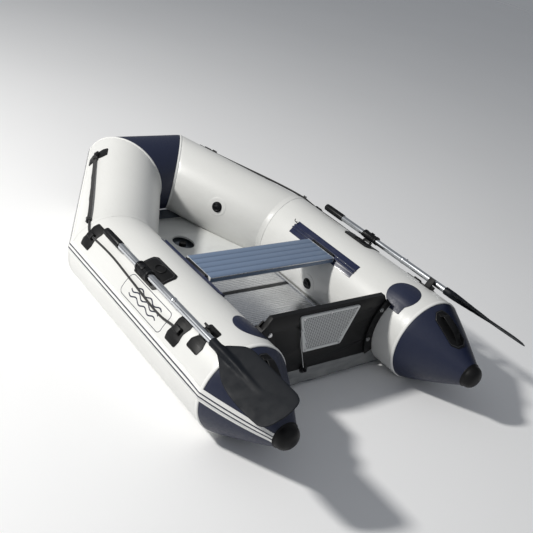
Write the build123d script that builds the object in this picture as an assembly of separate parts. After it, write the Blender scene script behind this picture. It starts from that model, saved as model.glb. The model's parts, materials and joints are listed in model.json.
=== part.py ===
from build123d import *
import os
from math import acos, atan, cos, degrees, pi, radians, sin, tan

# Inflatable dinghy with an aluminium floor, a plywood transom, a sliding bench and two oars.
# Millimetres. +X is the bow, +Y is port, +Z is up; the tubes rest on z = 0, and x = 0 is at
# mid-length. An angle on a tube is measured from its top, positive towards the outboard side.

# ---- driving dimensions ----
tube_r = 208.0          # main buoyancy tubes
tube_y = 524.0          # half the distance between the side tubes' axes
tube_z = tube_r         # the side tubes lie on the ground
wall = 0.9              # coated fabric
cone_base_x = -792.5    # side tube meets stern cone
cone_tip_x = -1122.5    # rounded end of the cone's rubber cap
shoulder_x = 326.5      # side tube meets bow tube
nose_x, nose_y, nose_z = 969.5, 159.0, 301.0  # bow tube meets nose tube
overhang_x = -1177.5    # the blades reach past the cones, as far aft as the nose is forward
skin_z = 18.0           # underside of the hull bottom, aft
floor_top = 98.0
floor_thick = 22.0
board_aft_x = -649.5    # aft face of the transom
board_thick = 25.0
board_top = 406.0
oar_angle = 33.0        # where the stowed oar lies round the tube
oar_r = 245.0           # stowed shaft's distance from the tube's axis
lock_x = -182.5         # rowlock
shaft_r = 15.0


class Segment:
    """A straight run of tube from start to end, with its outboard and up directions."""

    def __init__(self, start, end, out_hint):
        self.start, self.end = Vector(*start), Vector(*end)
        self.along = (self.end - self.start).normalized()
        hint = Vector(*out_hint)
        self.out = (hint - self.along * hint.dot(self.along)).normalized()
        up = self.along.cross(self.out)
        self.up = up if up.Z > 0 else up * -1
        self.length = (self.end - self.start).length

    def radial(self, angle):
        return self.out * sin(radians(angle)) + self.up * cos(radians(angle))

    def at(self, s, angle, r):
        return self.start + self.along * s + self.radial(angle) * r

    def face_plane(self, s, angle, r):
        """Plane tangent to the tube: its x runs along the tube and its z points outwards."""
        return Plane(origin=self.at(s, angle, r), x_dir=self.along, z_dir=self.radial(angle))


side = Segment((cone_base_x, tube_y, tube_z), (shoulder_x, tube_y, tube_z), (0, 1, 0))
bow = Segment((shoulder_x, tube_y, tube_z), (nose_x, nose_y, nose_z), (0, 1, 0))
nose = Segment((nose_x, nose_y, nose_z), (nose_x, -nose_y, nose_z), (1, 0, 0))
shoulder_normal = (side.along + bow.along).normalized()
nose_normal = (bow.along + nose.along).normalized()


def side_s(x):
    return x - cone_base_x


def bar(seg, r, before, after):
    """Round bar along a segment, running past both of its ends."""
    base = Plane(origin=seg.start - seg.along * before, z_dir=seg.along)
    return base * Cylinder(r, seg.length + before + after, align=(Align.CENTER, Align.CENTER, Align.MIN))


def cut(shape, point, normal, keep_behind):
    keep = Keep.BOTTOM if keep_behind else Keep.TOP
    return split(shape, bisect_by=Plane(origin=point, z_dir=normal), keep=keep)


def mitred(seg, r, start_normal, end_normal, inset=0.0):
    """Bar cut at a segment's two joint planes, each moved into the bar by the inset."""
    shape = bar(seg, r, tube_r * 1.5, tube_r * 1.5)
    shape = cut(shape, seg.end - end_normal * inset, end_normal, True)
    return cut(shape, seg.start + start_normal * inset, start_normal, False)


def chamber(seg, start_normal, end_normal):
    outer = mitred(seg, tube_r, start_normal, end_normal)
    return outer - mitred(seg, tube_r - wall, start_normal, end_normal, wall)


def ring(seg, r0, r1, s0, s1):
    """Hollow bar between two radii, over part of a segment."""
    base = Plane(origin=seg.start + seg.along * s0, z_dir=seg.along)
    low = (Align.CENTER, Align.CENTER, Align.MIN)
    return base * (Cylinder(r1, s1 - s0, align=low) - Cylinder(r0, s1 - s0, align=low))


def wrapped(seg, s, angle, outline, r0, r1):
    """Flat outline bent onto a tube between two radii."""
    reach = 260.0
    prism = seg.face_plane(s, angle, tube_r * 0.55) * extrude(outline, r1)
    return prism & ring(seg, r0, r1, s - reach, s + reach)


def prism_x(sketch, x0, x1):
    """Outline given as (y, z), extruded from x0 to x1."""
    return Plane(origin=(x0, 0, 0), x_dir=(0, 1, 0), z_dir=(1, 0, 0)) * extrude(sketch, x1 - x0)


def block(x0, x1, y0, y1, z0, z1):
    size = (x1 - x0, y1 - y0, z1 - z0)
    return Pos((x0 + x1) / 2, (y0 + y1) / 2, (z0 + z1) / 2) * Box(*size)


def rod(start, direction, r, length):
    plane = Plane(origin=start, z_dir=direction)
    return plane * Cylinder(r, length, align=(Align.CENTER, Align.CENTER, Align.MIN))


def other_side(shape):
    return mirror(shape, about=Plane.XZ)


def both(shape):
    """A piece and its mirror image, as two solids."""
    return Compound(children=[*shape.solids(), *other_side(shape).solids()])


def group(*shapes):
    return Compound(children=[solid for shape in shapes for solid in shape.solids()])


os.makedirs("parts", exist_ok=True)


def save(name, shape):
    solids = shape.solids()
    export_step(solids[0] if len(solids) == 1 else Compound(children=list(solids)), f"parts/{name}.step")


def save_pair(name, shape):
    save(f"port_{name}", shape)
    save(f"starboard_{name}", other_side(shape))


# ---- valves: a body in the tube's wall and a cap that screws off ----
valve_x = -160.5
valve_angle = -98.0
bow_valve_s, bow_valve_angle = 344.0, -75.0
valve_neck_r, valve_bore_r, valve_flange_r = 22.0, 15.0, 29.0
flange_top_r = tube_r + 3.0
cap_gap = 0.3


def valve_hole(seg, s, angle):
    return rod(seg.at(s, angle, tube_r - 30), seg.radial(angle), valve_neck_r, 60)


def valve_body(seg, s, angle, solid_tube):
    direction = seg.radial(angle)
    flange = rod(seg.at(s, angle, tube_r - 5), direction, valve_flange_r, flange_top_r - tube_r + 5) - solid_tube
    neck = rod(seg.at(s, angle, tube_r - 12), direction, valve_neck_r, flange_top_r - tube_r + 12)
    bore = rod(seg.at(s, angle, tube_r - 20), direction, valve_bore_r, 40)
    return flange + neck - bore


def valve_cap(seg, s, angle):
    direction = seg.radial(angle)
    plug = rod(seg.at(s, angle, tube_r - 4), direction, valve_bore_r - 0.1, 9)
    head = rod(seg.at(s, angle, flange_top_r + cap_gap), direction, 23.0, 7.0)
    grip = seg.face_plane(s, angle, flange_top_r + cap_gap + 6) * Box(34, 6, 9)
    return plug + head + grip


# ---- buoyancy tubes ----
x_normal = Vector(1, 0, 0)
solid_side = mitred(side, tube_r, x_normal, shoulder_normal)
solid_bow = mitred(bow, tube_r, shoulder_normal, nose_normal)
nose_end_normal = Vector(-nose_normal.X, nose_normal.Y, -nose_normal.Z)
solid_nose = mitred(nose, tube_r, nose_normal, nose_end_normal)

side_hole = valve_hole(side, side_s(valve_x), valve_angle)
side_tube = chamber(side, x_normal, shoulder_normal) - side_hole
save_pair("side_tube", side_tube)

bow_tube = chamber(bow, shoulder_normal, nose_normal)
save("port_bow_tube", bow_tube)
bow_hole = valve_hole(bow, bow_valve_s, bow_valve_angle)
save("starboard_bow_tube", other_side(bow_tube - bow_hole))
save("nose_tube", chamber(nose, nose_normal, nose_end_normal))

# ---- stern cones and their rubber caps ----
cone_end_x = -1080.0
cone_end_r = 51.0
cone_slope = (tube_r - cone_end_r) / (cone_base_x - cone_end_x)
aft = Vector(-1, 0, 0)


def cone_r(x):
    return tube_r - cone_slope * (cone_base_x - x)


def cone_bar(grow, inset):
    """Solid stern cone, grown outwards by one amount and shortened at both ends by another."""
    x0, x1 = cone_base_x - inset, cone_end_x + inset
    plane = Plane(origin=(x0, tube_y, tube_z), z_dir=aft)
    return plane * Cone(cone_r(x0) + grow, cone_r(x1) + grow, x0 - x1, align=(Align.CENTER, Align.CENTER, Align.MIN))


cone_normal_share = cos(atan(cone_slope))
stern_cone = cone_bar(0, 0) - cone_bar(-wall / cone_normal_share, wall)
save("stern_cones", both(stern_cone))

cap_front_x = -1071.5
cap_wall = 4.0
cap_profile = Polyline(
    (cone_end_x - cone_tip_x, 0), (cone_end_x - cone_tip_x, cone_end_r),
    (cap_front_x - cone_tip_x, cone_r(cap_front_x)), (cap_front_x - cone_tip_x, cone_r(cap_front_x) + cap_wall),
    (cone_end_x - cone_tip_x, cone_end_r + cap_wall))
cap_round = Spline(
    (cone_end_x - cone_tip_x, cone_end_r + cap_wall), (14.0, 42.5), (0, 0),
    tangents=[(-1, -cone_slope), (0, -1)])
cap_axis = Line((0, 0), (cone_end_x - cone_tip_x, 0))
cap_face = make_face(Curve() + [cap_profile, cap_round, cap_axis])
cap_plane = Plane(origin=(cone_tip_x, tube_y, tube_z), x_dir=(1, 0, 0), z_dir=(0, 1, 0))
cone_cap = cap_plane * revolve(cap_face, axis=Axis.X)
save("cone_caps", both(cone_cap))

# ---- rub strakes ----
strake_angle = 80.0
strake_half = 30.0
strake_thick = 3.0


def strake_slab(seg, before, after):
    middle = tube_r * cos(radians(strake_angle))
    centre = seg.start + seg.along * (seg.length / 2) + seg.up * middle + seg.out * tube_r
    plane = Plane(origin=centre, x_dir=seg.along, z_dir=seg.up)
    return plane * Pos((after - before) / 2, 0, 0) * Box(seg.length + before + after, tube_r, strake_half * 2)


def strake_of(seg, outer, inner, before, after):
    return (outer - inner) & strake_slab(seg, before, after)


side_strake = strake_of(side, mitred(side, tube_r + strake_thick, x_normal, shoulder_normal), solid_side, 0, 200)
bow_strake = strake_of(bow, mitred(bow, tube_r + strake_thick, shoulder_normal, nose_normal), solid_bow, 200, 200)
cone_strake = (cone_bar(strake_thick, 0) - cone_bar(0, 0)) & block(
    cap_front_x, cone_base_x, tube_y, tube_y + tube_r * 1.2,
    tube_z + tube_r * cos(radians(strake_angle)) - strake_half,
    tube_z + tube_r * cos(radians(strake_angle)) + strake_half)
save("rub_strakes", both(group(side_strake, bow_strake, cone_strake)))

# ---- hull bottom ----
rise = atan((nose_z - tube_z) / (nose_x - shoulder_x))
inside_outline = Polyline(
    (board_aft_x, -tube_y), (shoulder_x, -tube_y), (nose_x, -nose_y),
    (nose_x, nose_y), (shoulder_x, tube_y), (board_aft_x, tube_y), close=True)
inside_plan = extrude(make_face(inside_outline), 200)
solid_tubes = [solid_side, other_side(solid_side), solid_bow, other_side(solid_bow), solid_nose]


def trimmed(shape):
    """The part of a shape inside the ring of tubes."""
    shape = shape & inside_plan
    for tube in solid_tubes:
        shape = shape - tube
    return max(shape.solids(), key=lambda solid: solid.volume)


flat_skin = block(board_aft_x, shoulder_x, -tube_y, tube_y, skin_z, skin_z + wall)
bow_skin_plane = Plane(origin=(shoulder_x, 0, skin_z), x_dir=(cos(rise), 0, sin(rise)), z_dir=(-sin(rise), 0, cos(rise)))
bow_skin = bow_skin_plane * block(0, 700, -tube_y, tube_y, 0, wall)
save("hull_bottom_skin", trimmed(flat_skin + bow_skin))

keel_z = 47.0
keel_aft_x, keel_end_x = -590.0, 560.0
keel_high, keel_wide = 27.0, 60.0
keel_end_z, keel_end_high = 64.3, 11.0


def keel_section(x, z, wide, high):
    return Plane(origin=(x, 0, z), x_dir=(0, 1, 0), z_dir=(1, 0, 0)) * Ellipse(wide, high)


def keel_solid(inset):
    rear = extrude(keel_section(keel_aft_x + inset, keel_z, keel_wide - inset, keel_high - inset),
                   shoulder_x - keel_aft_x - inset)
    front = loft([
        keel_section(shoulder_x, keel_z, keel_wide - inset, keel_high - inset),
        keel_section(keel_end_x - inset, keel_end_z, keel_wide / 2 - inset, keel_end_high - inset)])
    return rear + front


keel_valve_x = 517.0
keel_valve_base = 66.0
keel_valve_top = 84.0
up = Vector(0, 0, 1)
keel_body = rod((keel_valve_x, 0, keel_valve_base), up, 20, keel_valve_top - keel_valve_base)
keel_bore = rod((keel_valve_x, 0, keel_valve_base + 4), up, valve_bore_r, 40)
save("air_keel", keel_solid(0) - keel_solid(wall) - keel_body)
save("keel_valve", keel_body - keel_bore)
keel_plug = rod((keel_valve_x, 0, keel_valve_top - 8), up, valve_bore_r - 0.1, 9)
keel_cap = keel_plug + rod((keel_valve_x, 0, keel_valve_top + cap_gap), up, 20, 8)
save("keel_valve_cap", keel_cap)

# ---- floor ----
floor_half = 322.0
panel_gap = 4.0
panel_ends = (-612.0, -312.0, -12.0, 288.0)
panel_wall = 2.0
cells = 7
rib_pitch = 14.0
rib_high = 1.2
floor_low = floor_top - floor_thick


def floor_panel(x0, x1):
    """Hollow plank with ribs on top, extruded athwartships."""
    long = x1 - x0
    core_high = floor_thick - rib_high
    sketch = Pos(0, core_high / 2) * Rectangle(long, core_high)
    cell_long = (long - panel_wall * (cells + 1)) / cells
    for spot in GridLocations(cell_long + panel_wall, 1, cells, 1):
        sketch -= spot * Pos(0, core_high / 2) * Rectangle(cell_long, core_high - 2 * panel_wall)
    ribs = int(long / rib_pitch)
    for spot in GridLocations(rib_pitch, 1, ribs, 1):
        sketch += spot * Pos(0, core_high + rib_high / 2) * Rectangle(5, rib_high)
    plane = Plane(origin=((x0 + x1) / 2, floor_half, floor_low), x_dir=(1, 0, 0), z_dir=(0, -1, 0))
    return plane * extrude(sketch, 2 * floor_half)


for name, x0, x1 in zip(("aft", "mid", "fore"), panel_ends, panel_ends[1:]):
    save(f"floor_panel_{name}", floor_panel(x0, x1 - panel_gap))

joiner_flange, joiner_thick = 12.0, 2.0
joiners = []
for joint_x in panel_ends[1:]:
    middle = joint_x - panel_gap / 2
    web = block(middle - panel_gap / 2, middle + panel_gap / 2, -floor_half, floor_half, floor_low, floor_top)
    cap_strip = block(middle - joiner_flange, middle + joiner_flange, -floor_half, floor_half,
                      floor_top, floor_top + joiner_thick)
    joiners.append(web + cap_strip)
save("floor_joiners", group(*joiners))

stringer_out = 337.0
stringer_x0, stringer_x1 = panel_ends[0] + 6, panel_ends[-1] - 6
stringer_top = floor_top + 5
stringer = block(stringer_x0, stringer_x1, floor_half, stringer_out, floor_low, stringer_top)
stringer -= block(stringer_x0, stringer_x1, floor_half + panel_wall, stringer_out - panel_wall,
                  floor_low, stringer_top - panel_wall)
save("floor_stringers", both(stringer))

board_gap = 1.0
hole_x, hole_long, hole_wide = 515.0, 144.0, 114.0
board_end_x, bow_board_thick = 788.0, 12.0
bow_board = block(panel_ends[-1], board_end_x, -tube_y, tube_y, floor_top - bow_board_thick, floor_top) & inside_plan
for seg, before, after in ((side, 0, 100), (bow, 100, 100), (nose, 200, 200)):
    grown = bar(seg, tube_r + board_gap, before, after)
    bow_board = bow_board - grown - other_side(grown)
bow_board = max(bow_board.solids(), key=lambda solid: solid.volume)
hole_plane = Plane(origin=(hole_x, 0, floor_low))
bow_board -= hole_plane * extrude(Ellipse(hole_long / 2, hole_wide / 2), floor_thick)
save("bow_floor_board", bow_board)

# ---- transom ----
edge_r = tube_r + 14.0      # the board's side edges follow the tube at this radius
board_low = 60.0
top_half = 320.0
corner_angle = -49.0        # where the sloping shoulder of the board meets its round edge
board_fore_x = board_aft_x + board_thick


def round_edge_point(angle, r):
    return (tube_y + r * sin(radians(angle)), tube_z + r * cos(radians(angle)))


corner = round_edge_point(corner_angle, edge_r)
low_angle = -degrees(acos((board_low - tube_z) / edge_r))
low_point = round_edge_point(low_angle, edge_r)
mid_point = round_edge_point((corner_angle + low_angle) / 2, edge_r)


def flip(point):
    return (-point[0], point[1])


board_outline = Curve() + [
    Line((-top_half, board_top), (top_half, board_top)),
    Line((top_half, board_top), corner),
    ThreePointArc(corner, mid_point, low_point),
    Line(low_point, flip(low_point)),
    ThreePointArc(flip(low_point), flip(mid_point), flip(corner)),
    Line(flip(corner), (-top_half, board_top))]
board = prism_x(make_face(board_outline), board_aft_x, board_fore_x)

bolt_r = 4.0
bolt_spots = [round_edge_point(angle, edge_r + 14) for angle in (-59.0, -98.0)]
bolt_hole = [rod((board_aft_x - 30, y, z), Vector(1, 0, 0), bolt_r, 90) for y, z in bolt_spots]
drain_y, drain_z = 70.0, 92.0
drain_r, drain_flange_r = 15.0, 23.0
drain_bore_r = 11.0
forward = Vector(1, 0, 0)
for hole in bolt_hole:
    board = board - hole - other_side(hole)
board -= rod((board_aft_x - 1, drain_y, drain_z), forward, drain_r, board_thick + 2)
save("transom_board", board)

holder_wall = 8.0
holder_lip = edge_r + 30.0
holder_from, holder_to = -46.0, -118.0
holder_x0 = board_aft_x - holder_wall
holder_x1 = board_fore_x + holder_wall


def sector(r0, r1, angle0, angle1):
    """Ring sector round the side tube's axis, as a (y, z) outline."""
    middle = (angle0 + angle1) / 2
    points = [round_edge_point(a, r) for r in (r1, r0) for a in (angle0, middle, angle1)]
    outer, inner = points[:3], points[3:]
    return make_face(Curve() + [
        ThreePointArc(*outer), Line(outer[2], inner[2]), ThreePointArc(*reversed(inner)), Line(inner[0], outer[0])])


holder = prism_x(sector(tube_r, holder_lip, holder_from, holder_to), holder_x0, holder_x1)
holder -= prism_x(sector(edge_r, holder_lip + 5, holder_from + 5, holder_to - 5), board_aft_x, board_fore_x)
for hole in bolt_hole:
    holder -= hole
save("transom_holders", both(holder))

bolts = []
for y, z in bolt_spots:
    shank = rod((holder_x0, y, z), forward, bolt_r, holder_x1 - holder_x0)
    head = rod((holder_x0 - 5, y, z), forward, 8, 5)
    nut = Plane(origin=(holder_x1, y, z), z_dir=forward) * extrude(RegularPolygon(7.5, 6), 6)
    bolts.append(shank + head + nut)
save("transom_bolts", both(group(*bolts)))

skirt_top = 96.0
skirt_thick = 2.0
skirt = block(board_aft_x - skirt_thick, board_aft_x, -tube_y, tube_y, skin_z + wall, skirt_top)
skirt = skirt - solid_side - other_side(solid_side)
skirt = max(skirt.solids(), key=lambda solid: solid.volume)
for side_holder in (holder, other_side(holder)):
    skirt -= side_holder
skirt -= rod((board_aft_x - 5, drain_y, drain_z), forward, drain_flange_r, 10)
save("transom_skirt", max(skirt.solids(), key=lambda solid: solid.volume))

pad_top, pad_low = 386.0, 195.0
pad_top_half, pad_low_half = 172.0, 108.0
pad_thick = 9.0
pad_outline = make_face(Polyline(
    (-pad_top_half, pad_top), (pad_top_half, pad_top), (pad_low_half, pad_low), (-pad_low_half, pad_low), close=True))
pad_outline = fillet(pad_outline.vertices(), 8)
pad_recess = offset(pad_outline, -11)
pad_aft = prism_x(pad_outline, board_aft_x - pad_thick, board_aft_x)
pad_aft -= prism_x(pad_recess, board_aft_x - pad_thick, board_aft_x - pad_thick + 3)
fore_outline = fillet(make_face(Polyline(
    (-120, pad_top), (120, pad_top), (95, 260), (-95, 260), close=True)).vertices(), 8)
pad_fore = prism_x(fore_outline, board_fore_x, board_fore_x + 6)
screw_spots = [(-150, 374), (0, 379), (150, 374), (-98, 203), (98, 203)]
screw_r = 2.5
screws = []
for y, z in screw_spots:
    shank = rod((board_aft_x - pad_thick, y, z), forward, screw_r, pad_thick)
    pad_aft -= shank
    screws.append(shank + rod((board_aft_x - pad_thick - 2, y, z), forward, 5.5, 2))
save("motor_pad_aft", pad_aft)
save("motor_pad_fore", pad_fore)
save("pad_screws", group(*screws))

bush = rod((board_aft_x - 4, drain_y, drain_z), forward, drain_flange_r, 4)
bush += rod((board_aft_x, drain_y, drain_z), forward, drain_r, board_thick)
bush -= rod((board_aft_x - 10, drain_y, drain_z), forward, drain_bore_r, 60)
save("drain_bush", bush)
plug_gap = 0.1
plug = rod((board_aft_x - 4 - cap_gap - 6, drain_y, drain_z), forward, 16, 6)
plug += rod((board_aft_x - 5, drain_y, drain_z), forward, drain_bore_r - plug_gap, 23)
plug += rod((board_aft_x - 22, drain_y, drain_z), forward, 6, 13)
save("drain_plug", plug)

# ---- navy patches where the transom meets the tubes ----
patch_x, patch_angle, patch_r = -660.0, -25.0, 80.0
patch_thick = 2.0
patch_outline = Circle(patch_r) + Pos(-31, -70) * Rectangle(62, 44)
transom_patch = wrapped(side, side_s(patch_x), patch_angle, patch_outline, tube_r, tube_r + patch_thick)
transom_patch -= holder
save("transom_patches", both(transom_patch))

# ---- seat tracks and bench ----
track_x0, track_x1 = -382.5, 105.5
track_angle = -42.0
track_half = 38.0
track_base = 2.0
rail_high = 9.0          # rail's top above the tube
rail_half = 12.0
slot_half = 4.0
slot_floor = 4.0
track_mid_x = (track_x0 + track_x1) / 2
track_long = track_x1 - track_x0
track = wrapped(side, side_s(track_mid_x), track_angle, Rectangle(track_long, 2 * track_half),
                tube_r, tube_r + track_base)
track_plane = side.face_plane(side_s(track_mid_x), track_angle, tube_r)
rail = track_plane * Pos(0, 0, rail_high / 2 - 2) * Box(track_long, 2 * rail_half, rail_high + 4)
track = (track + rail) - solid_side
track -= track_plane * Pos(0, 0, slot_floor + 10) * Box(track_long + 2, 2 * slot_half, 20)
save("seat_tracks", both(track))

seat_x0, seat_x1 = -248.5, -44.5
seat_half = 360.0
seat_top = 371.0
seat_thick = 26.0
seat_wall = 2.0
seat_cells = 5
seat_rib = 1.2


def seat_profile():
    """Hollow bench plank as an (x, z) outline centred on its own middle, with flat ribs on top."""
    long, core = seat_x1 - seat_x0, seat_thick - seat_rib
    sketch = Pos(0, core / 2) * Rectangle(long, core)
    cell_long = (long - seat_wall * (seat_cells + 1)) / seat_cells
    for spot in GridLocations(cell_long + seat_wall, 1, seat_cells, 1):
        sketch -= spot * Pos(0, core / 2) * Rectangle(cell_long, core - 2 * seat_wall)
        sketch += spot * Pos(0, core + seat_rib / 2) * Rectangle(cell_long - 8, seat_rib)
    return sketch


seat_plane = Plane(origin=((seat_x0 + seat_x1) / 2, seat_half, seat_top - seat_thick),
                   x_dir=(1, 0, 0), z_dir=(0, -1, 0))
save("seat_bench", seat_plane * extrude(seat_profile(), 2 * seat_half))
end_cap = block(seat_x0, seat_x1, seat_half, seat_half + 2, seat_top - seat_thick, seat_top)
save("seat_end_caps", both(end_cap))

slide_x0, slide_x1 = seat_x0 + 20, seat_x1 - 20
slide_bracket = block(slide_x0, slide_x1, seat_half + 2, 375, 367, 370.5)
slide_plane = side.face_plane(side_s((slide_x0 + slide_x1) / 2), track_angle, tube_r + slot_floor + 0.6)
tongue_top = 12.0
slide_tongue = slide_plane * Pos(0, 0, tongue_top / 2) * Box(slide_x1 - slide_x0, 2 * slot_half - 1, tongue_top)
save("seat_slides", both(slide_bracket + slide_tongue))

# ---- grab rope: three holders and one rope on each side ----
rope_r = 5.0
rope_path_r = tube_r + 9.5
rope_gap = 1.2
holder_spots = [(bow, 640.0, 49.0), (side, side_s(262.0), 48.5), (side, side_s(-525.0), 49.0)]
butterfly = make_face(Polyline(
    (-35, -62), (35, -62), (42, -34), (35, 0), (42, 34), (35, 62), (-35, 62), (-42, 34), (-35, 0), (-42, -34),
    close=True))
butterfly = fillet(butterfly.vertices(), 9)
rope_holders = []
for seg, s, angle in holder_spots:
    base = wrapped(seg, s, angle, butterfly, tube_r, tube_r + 3)
    boss_plane = seg.face_plane(s, angle, tube_r)
    boss = boss_plane * Pos(0, 0, 7) * Box(40, 30, 22)
    boss = fillet(boss.edges().filter_by(Axis(boss_plane.origin, boss_plane.x_dir)), 7)
    bored = base + (boss - bar(seg, tube_r, 20, 20))
    bored -= boss_plane * Pos(0, 0, rope_path_r - tube_r) * Rot(0, 90, 0) * Cylinder(rope_r + rope_gap, 80)
    rope_holders.append(bored)
save("rope_holders", both(group(*rope_holders)))

rope_route = [
    bow.at(640, 49, rope_path_r), bow.at(600, 49, rope_path_r), bow.at(30, 44.5, rope_path_r + 8),
    side.at(side_s(295), 48.5, rope_path_r), side.at(side_s(228), 48.5, rope_path_r),
    side.at(side_s(145), 47.4, rope_path_r - 1), side.at(side_s(40), 47.1, rope_path_r - 1.5),
    side.at(side_s(-80), 48.9, rope_path_r - 1.5), side.at(side_s(-200), 50.6, rope_path_r - 1.5),
    side.at(side_s(-315), 52.6, rope_path_r - 1.5), side.at(side_s(-420), 52.9, rope_path_r - 1),
    side.at(side_s(-490), 49.2, rope_path_r), side.at(side_s(-525), 49.0, rope_path_r)]


def turn_at(a, b, c):
    return radians((b - a).get_angle(c - b))


def corner_radii(points):
    radii = []
    for a, b, c in zip(points, points[1:], points[2:]):
        shorter = min((b - a).length, (c - b).length)
        radii.append(0.45 * shorter / tan(turn_at(a, b, c) / 2))
    return radii


def cord_solid(name, points, r):
    radii = corner_radii(points)
    path = FilletPolyline(*points, radius=radii)
    section = Plane(origin=path @ 0, z_dir=path % 0) * Circle(r)
    solid = sweep(section, path=path)
    expected = pi * r * r * path.length
    print(name, "length", round(path.length, 1), "radii", [round(value) for value in radii],
          "volume ratio", round(solid.volume / expected, 3))
    save(name, solid)
    return solid


grab_rope = cord_solid("port_grab_rope", rope_route, rope_r)
save("starboard_grab_rope", other_side(grab_rope))

lanyard_r = 1.5
lanyard_x = board_aft_x - pad_thick - 4
lanyard_route = [
    Vector(lanyard_x, 152, 314), Vector(lanyard_x - 1, 147, 276), Vector(lanyard_x, 134, 234),
    Vector(lanyard_x + 1, 114, 192), Vector(lanyard_x + 2, 97, 149), Vector(lanyard_x + 3, 80, 108)]
cord_solid("drain_lanyard", lanyard_route, lanyard_r)

# ---- carry handles on the cones ----
handle_x, handle_angle = -912.5, -8.0
slope_angle = atan(cone_slope)
cone_up = Vector(0, sin(radians(handle_angle)), cos(radians(handle_angle)))
handle_out = (cone_up * cos(slope_angle) + Vector(-1, 0, 0) * sin(slope_angle)).normalized()
handle_along = (Vector(1, 0, 0) * cos(slope_angle) + cone_up * sin(slope_angle)).normalized()
handle_spot = Vector(handle_x, tube_y, tube_z) + cone_up * cone_r(handle_x)
handle_plane = Plane(origin=handle_spot, x_dir=handle_along, z_dir=handle_out)
handle_half, handle_wide = 92.0, 40.0
hexagon = fillet(make_face(Polyline(
    (-handle_half, -18), (-handle_half + 30, -handle_wide), (handle_half - 30, -handle_wide), (handle_half, -18),
    (handle_half, 18), (handle_half - 30, handle_wide), (-handle_half + 30, handle_wide), (-handle_half, 18),
    close=True)).vertices(), 8)
handle_base = handle_plane * Pos(0, 0, -14) * extrude(hexagon, 20) & (cone_bar(5, 0) - cone_bar(0, 0))
grip_half, grip_gap, grip_thick = 66.0, 26.0, 9.0
grip_low = 3.0
grip_outline = make_face(Polyline(
    (-grip_half - 14, grip_low), (-grip_half + 14, grip_low), (-grip_half + 24, grip_gap), (grip_half - 24, grip_gap),
    (grip_half - 14, grip_low), (grip_half + 14, grip_low), (grip_half - 12, grip_gap + grip_thick),
    (-grip_half + 12, grip_gap + grip_thick), close=True))
side_plane = Plane(origin=handle_spot, x_dir=handle_along, z_dir=handle_along.cross(handle_out) * -1)
grip_prism = extrude(grip_outline, 14, both=True)
grip = side_plane * grip_prism
if grip.center().Z < handle_spot.Z:
    side_plane = Plane(origin=handle_spot, x_dir=handle_along * -1, z_dir=handle_along.cross(handle_out))
    grip = side_plane * grip_prism
save("carry_handles", both(handle_base + (grip - cone_bar(0, 0))))

# ---- rowlocks and aft oar clips ----
oar_out = side.radial(oar_angle)
oar_side = Vector(0, oar_out.Z, -oar_out.Y)      # along the tube's skin, towards the outboard side
trunnion_r = 220.0
trunnion_pin_r = 3.0
lug_r = 5.5
yoke_low_r, yoke_top_r = 215.0, 226.5
base_angle = 23.0
lock_base_outline = fillet(make_face(Polyline(
    (-95, -46), (-80, -62), (80, -62), (95, -46), (95, 46), (80, 62), (-80, 62), (-95, 46),
    close=True)).vertices(), 10)
lock_base = wrapped(side, side_s(lock_x), base_angle, lock_base_outline, tube_r, tube_r + 4)
lock_plane = side.face_plane(side_s(lock_x), oar_angle, 0)


def on_lock(x0, x1, half_wide, r0, r1):
    """Box centred on the lock, with its width along the tube's skin."""
    return lock_plane * block(x0, x1, -half_wide, half_wide, r0, r1)


def trunnion_rod(x0, x1, r):
    return rod(Vector(lock_x + x0, 0, 0) + Vector(0, tube_y, tube_z) + oar_out * trunnion_r, forward, r, x1 - x0)


lug_in, lug_outer = 20.6, 29.0
for x0, x1 in ((-lug_outer, -lug_in), (lug_in, lug_outer)):
    lock_base += on_lock(x0, x1, lug_r, tube_r + 2, trunnion_r) + trunnion_rod(x0, x1, lug_r)
trunnion_pin = trunnion_rod(-lug_outer - 2, lug_outer + 2, trunnion_pin_r)
lock_base -= trunnion_pin
save("rowlock_bases", both(lock_base))
save("rowlock_trunnions", both(trunnion_pin))

pin_r = 5.0
sleeve_r = 21.0
sleeve_flat_r = 227.5
yoke = on_lock(-20, 20, 9, yoke_low_r, yoke_top_r)
axis_point = Vector(lock_x, tube_y, tube_z)
yoke += rod(axis_point + oar_out * (yoke_top_r - 1), oar_out, pin_r, oar_r + sleeve_r + 2 - yoke_top_r)
yoke += rod(axis_point + oar_out * (oar_r + sleeve_r + 0.6), oar_out, 10, 5)
yoke -= trunnion_rod(-40, 40, trunnion_pin_r + 0.05)
save_pair("rowlock_yoke", yoke)

clip_x, clip_angle = -642.5, 36.0
clip_plane = side.face_plane(side_s(clip_x), oar_angle, 0)
clip_outline = make_face(Polyline(        # narrower in the waist than the rope holders, clear of the tilted oar
    (-37, -64), (37, -64), (40, -30), (24, 0), (40, 30), (37, 64), (-37, 64), (-40, 30), (-24, 0), (-40, -30),
    close=True))
clip_outline = fillet(clip_outline.vertices(), 9)
clip_base = wrapped(side, side_s(clip_x), clip_angle, clip_outline, tube_r, tube_r + 3)
saddle = clip_plane * block(-16, 16, -31, 14, tube_r - 8, 226)
cheek = clip_plane * block(-16, 16, -31, -23, tube_r - 8, 256)
clip = clip_base + ((saddle + cheek) - bar(side, tube_r, 0, 0))
save("oar_clips", both(clip))

# ---- oars ----
shaft_line = Vector(0, tube_y, tube_z) + oar_out * oar_r
handle_end_x = 178.0
grip_end_x = 38.0
joint_x = -422.5
neck_x = -742.5
shaft_wall = 1.5
spigot_long = 90.0
spigot_r = shaft_r - shaft_wall - 0.05


def shaft_tube(x0, x1, outer, inner):
    return rod(shaft_line + Vector(x0, 0, 0), forward, outer, x1 - x0) - rod(
        shaft_line + Vector(x0 - 1, 0, 0), forward, inner, x1 - x0 + 2)


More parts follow.
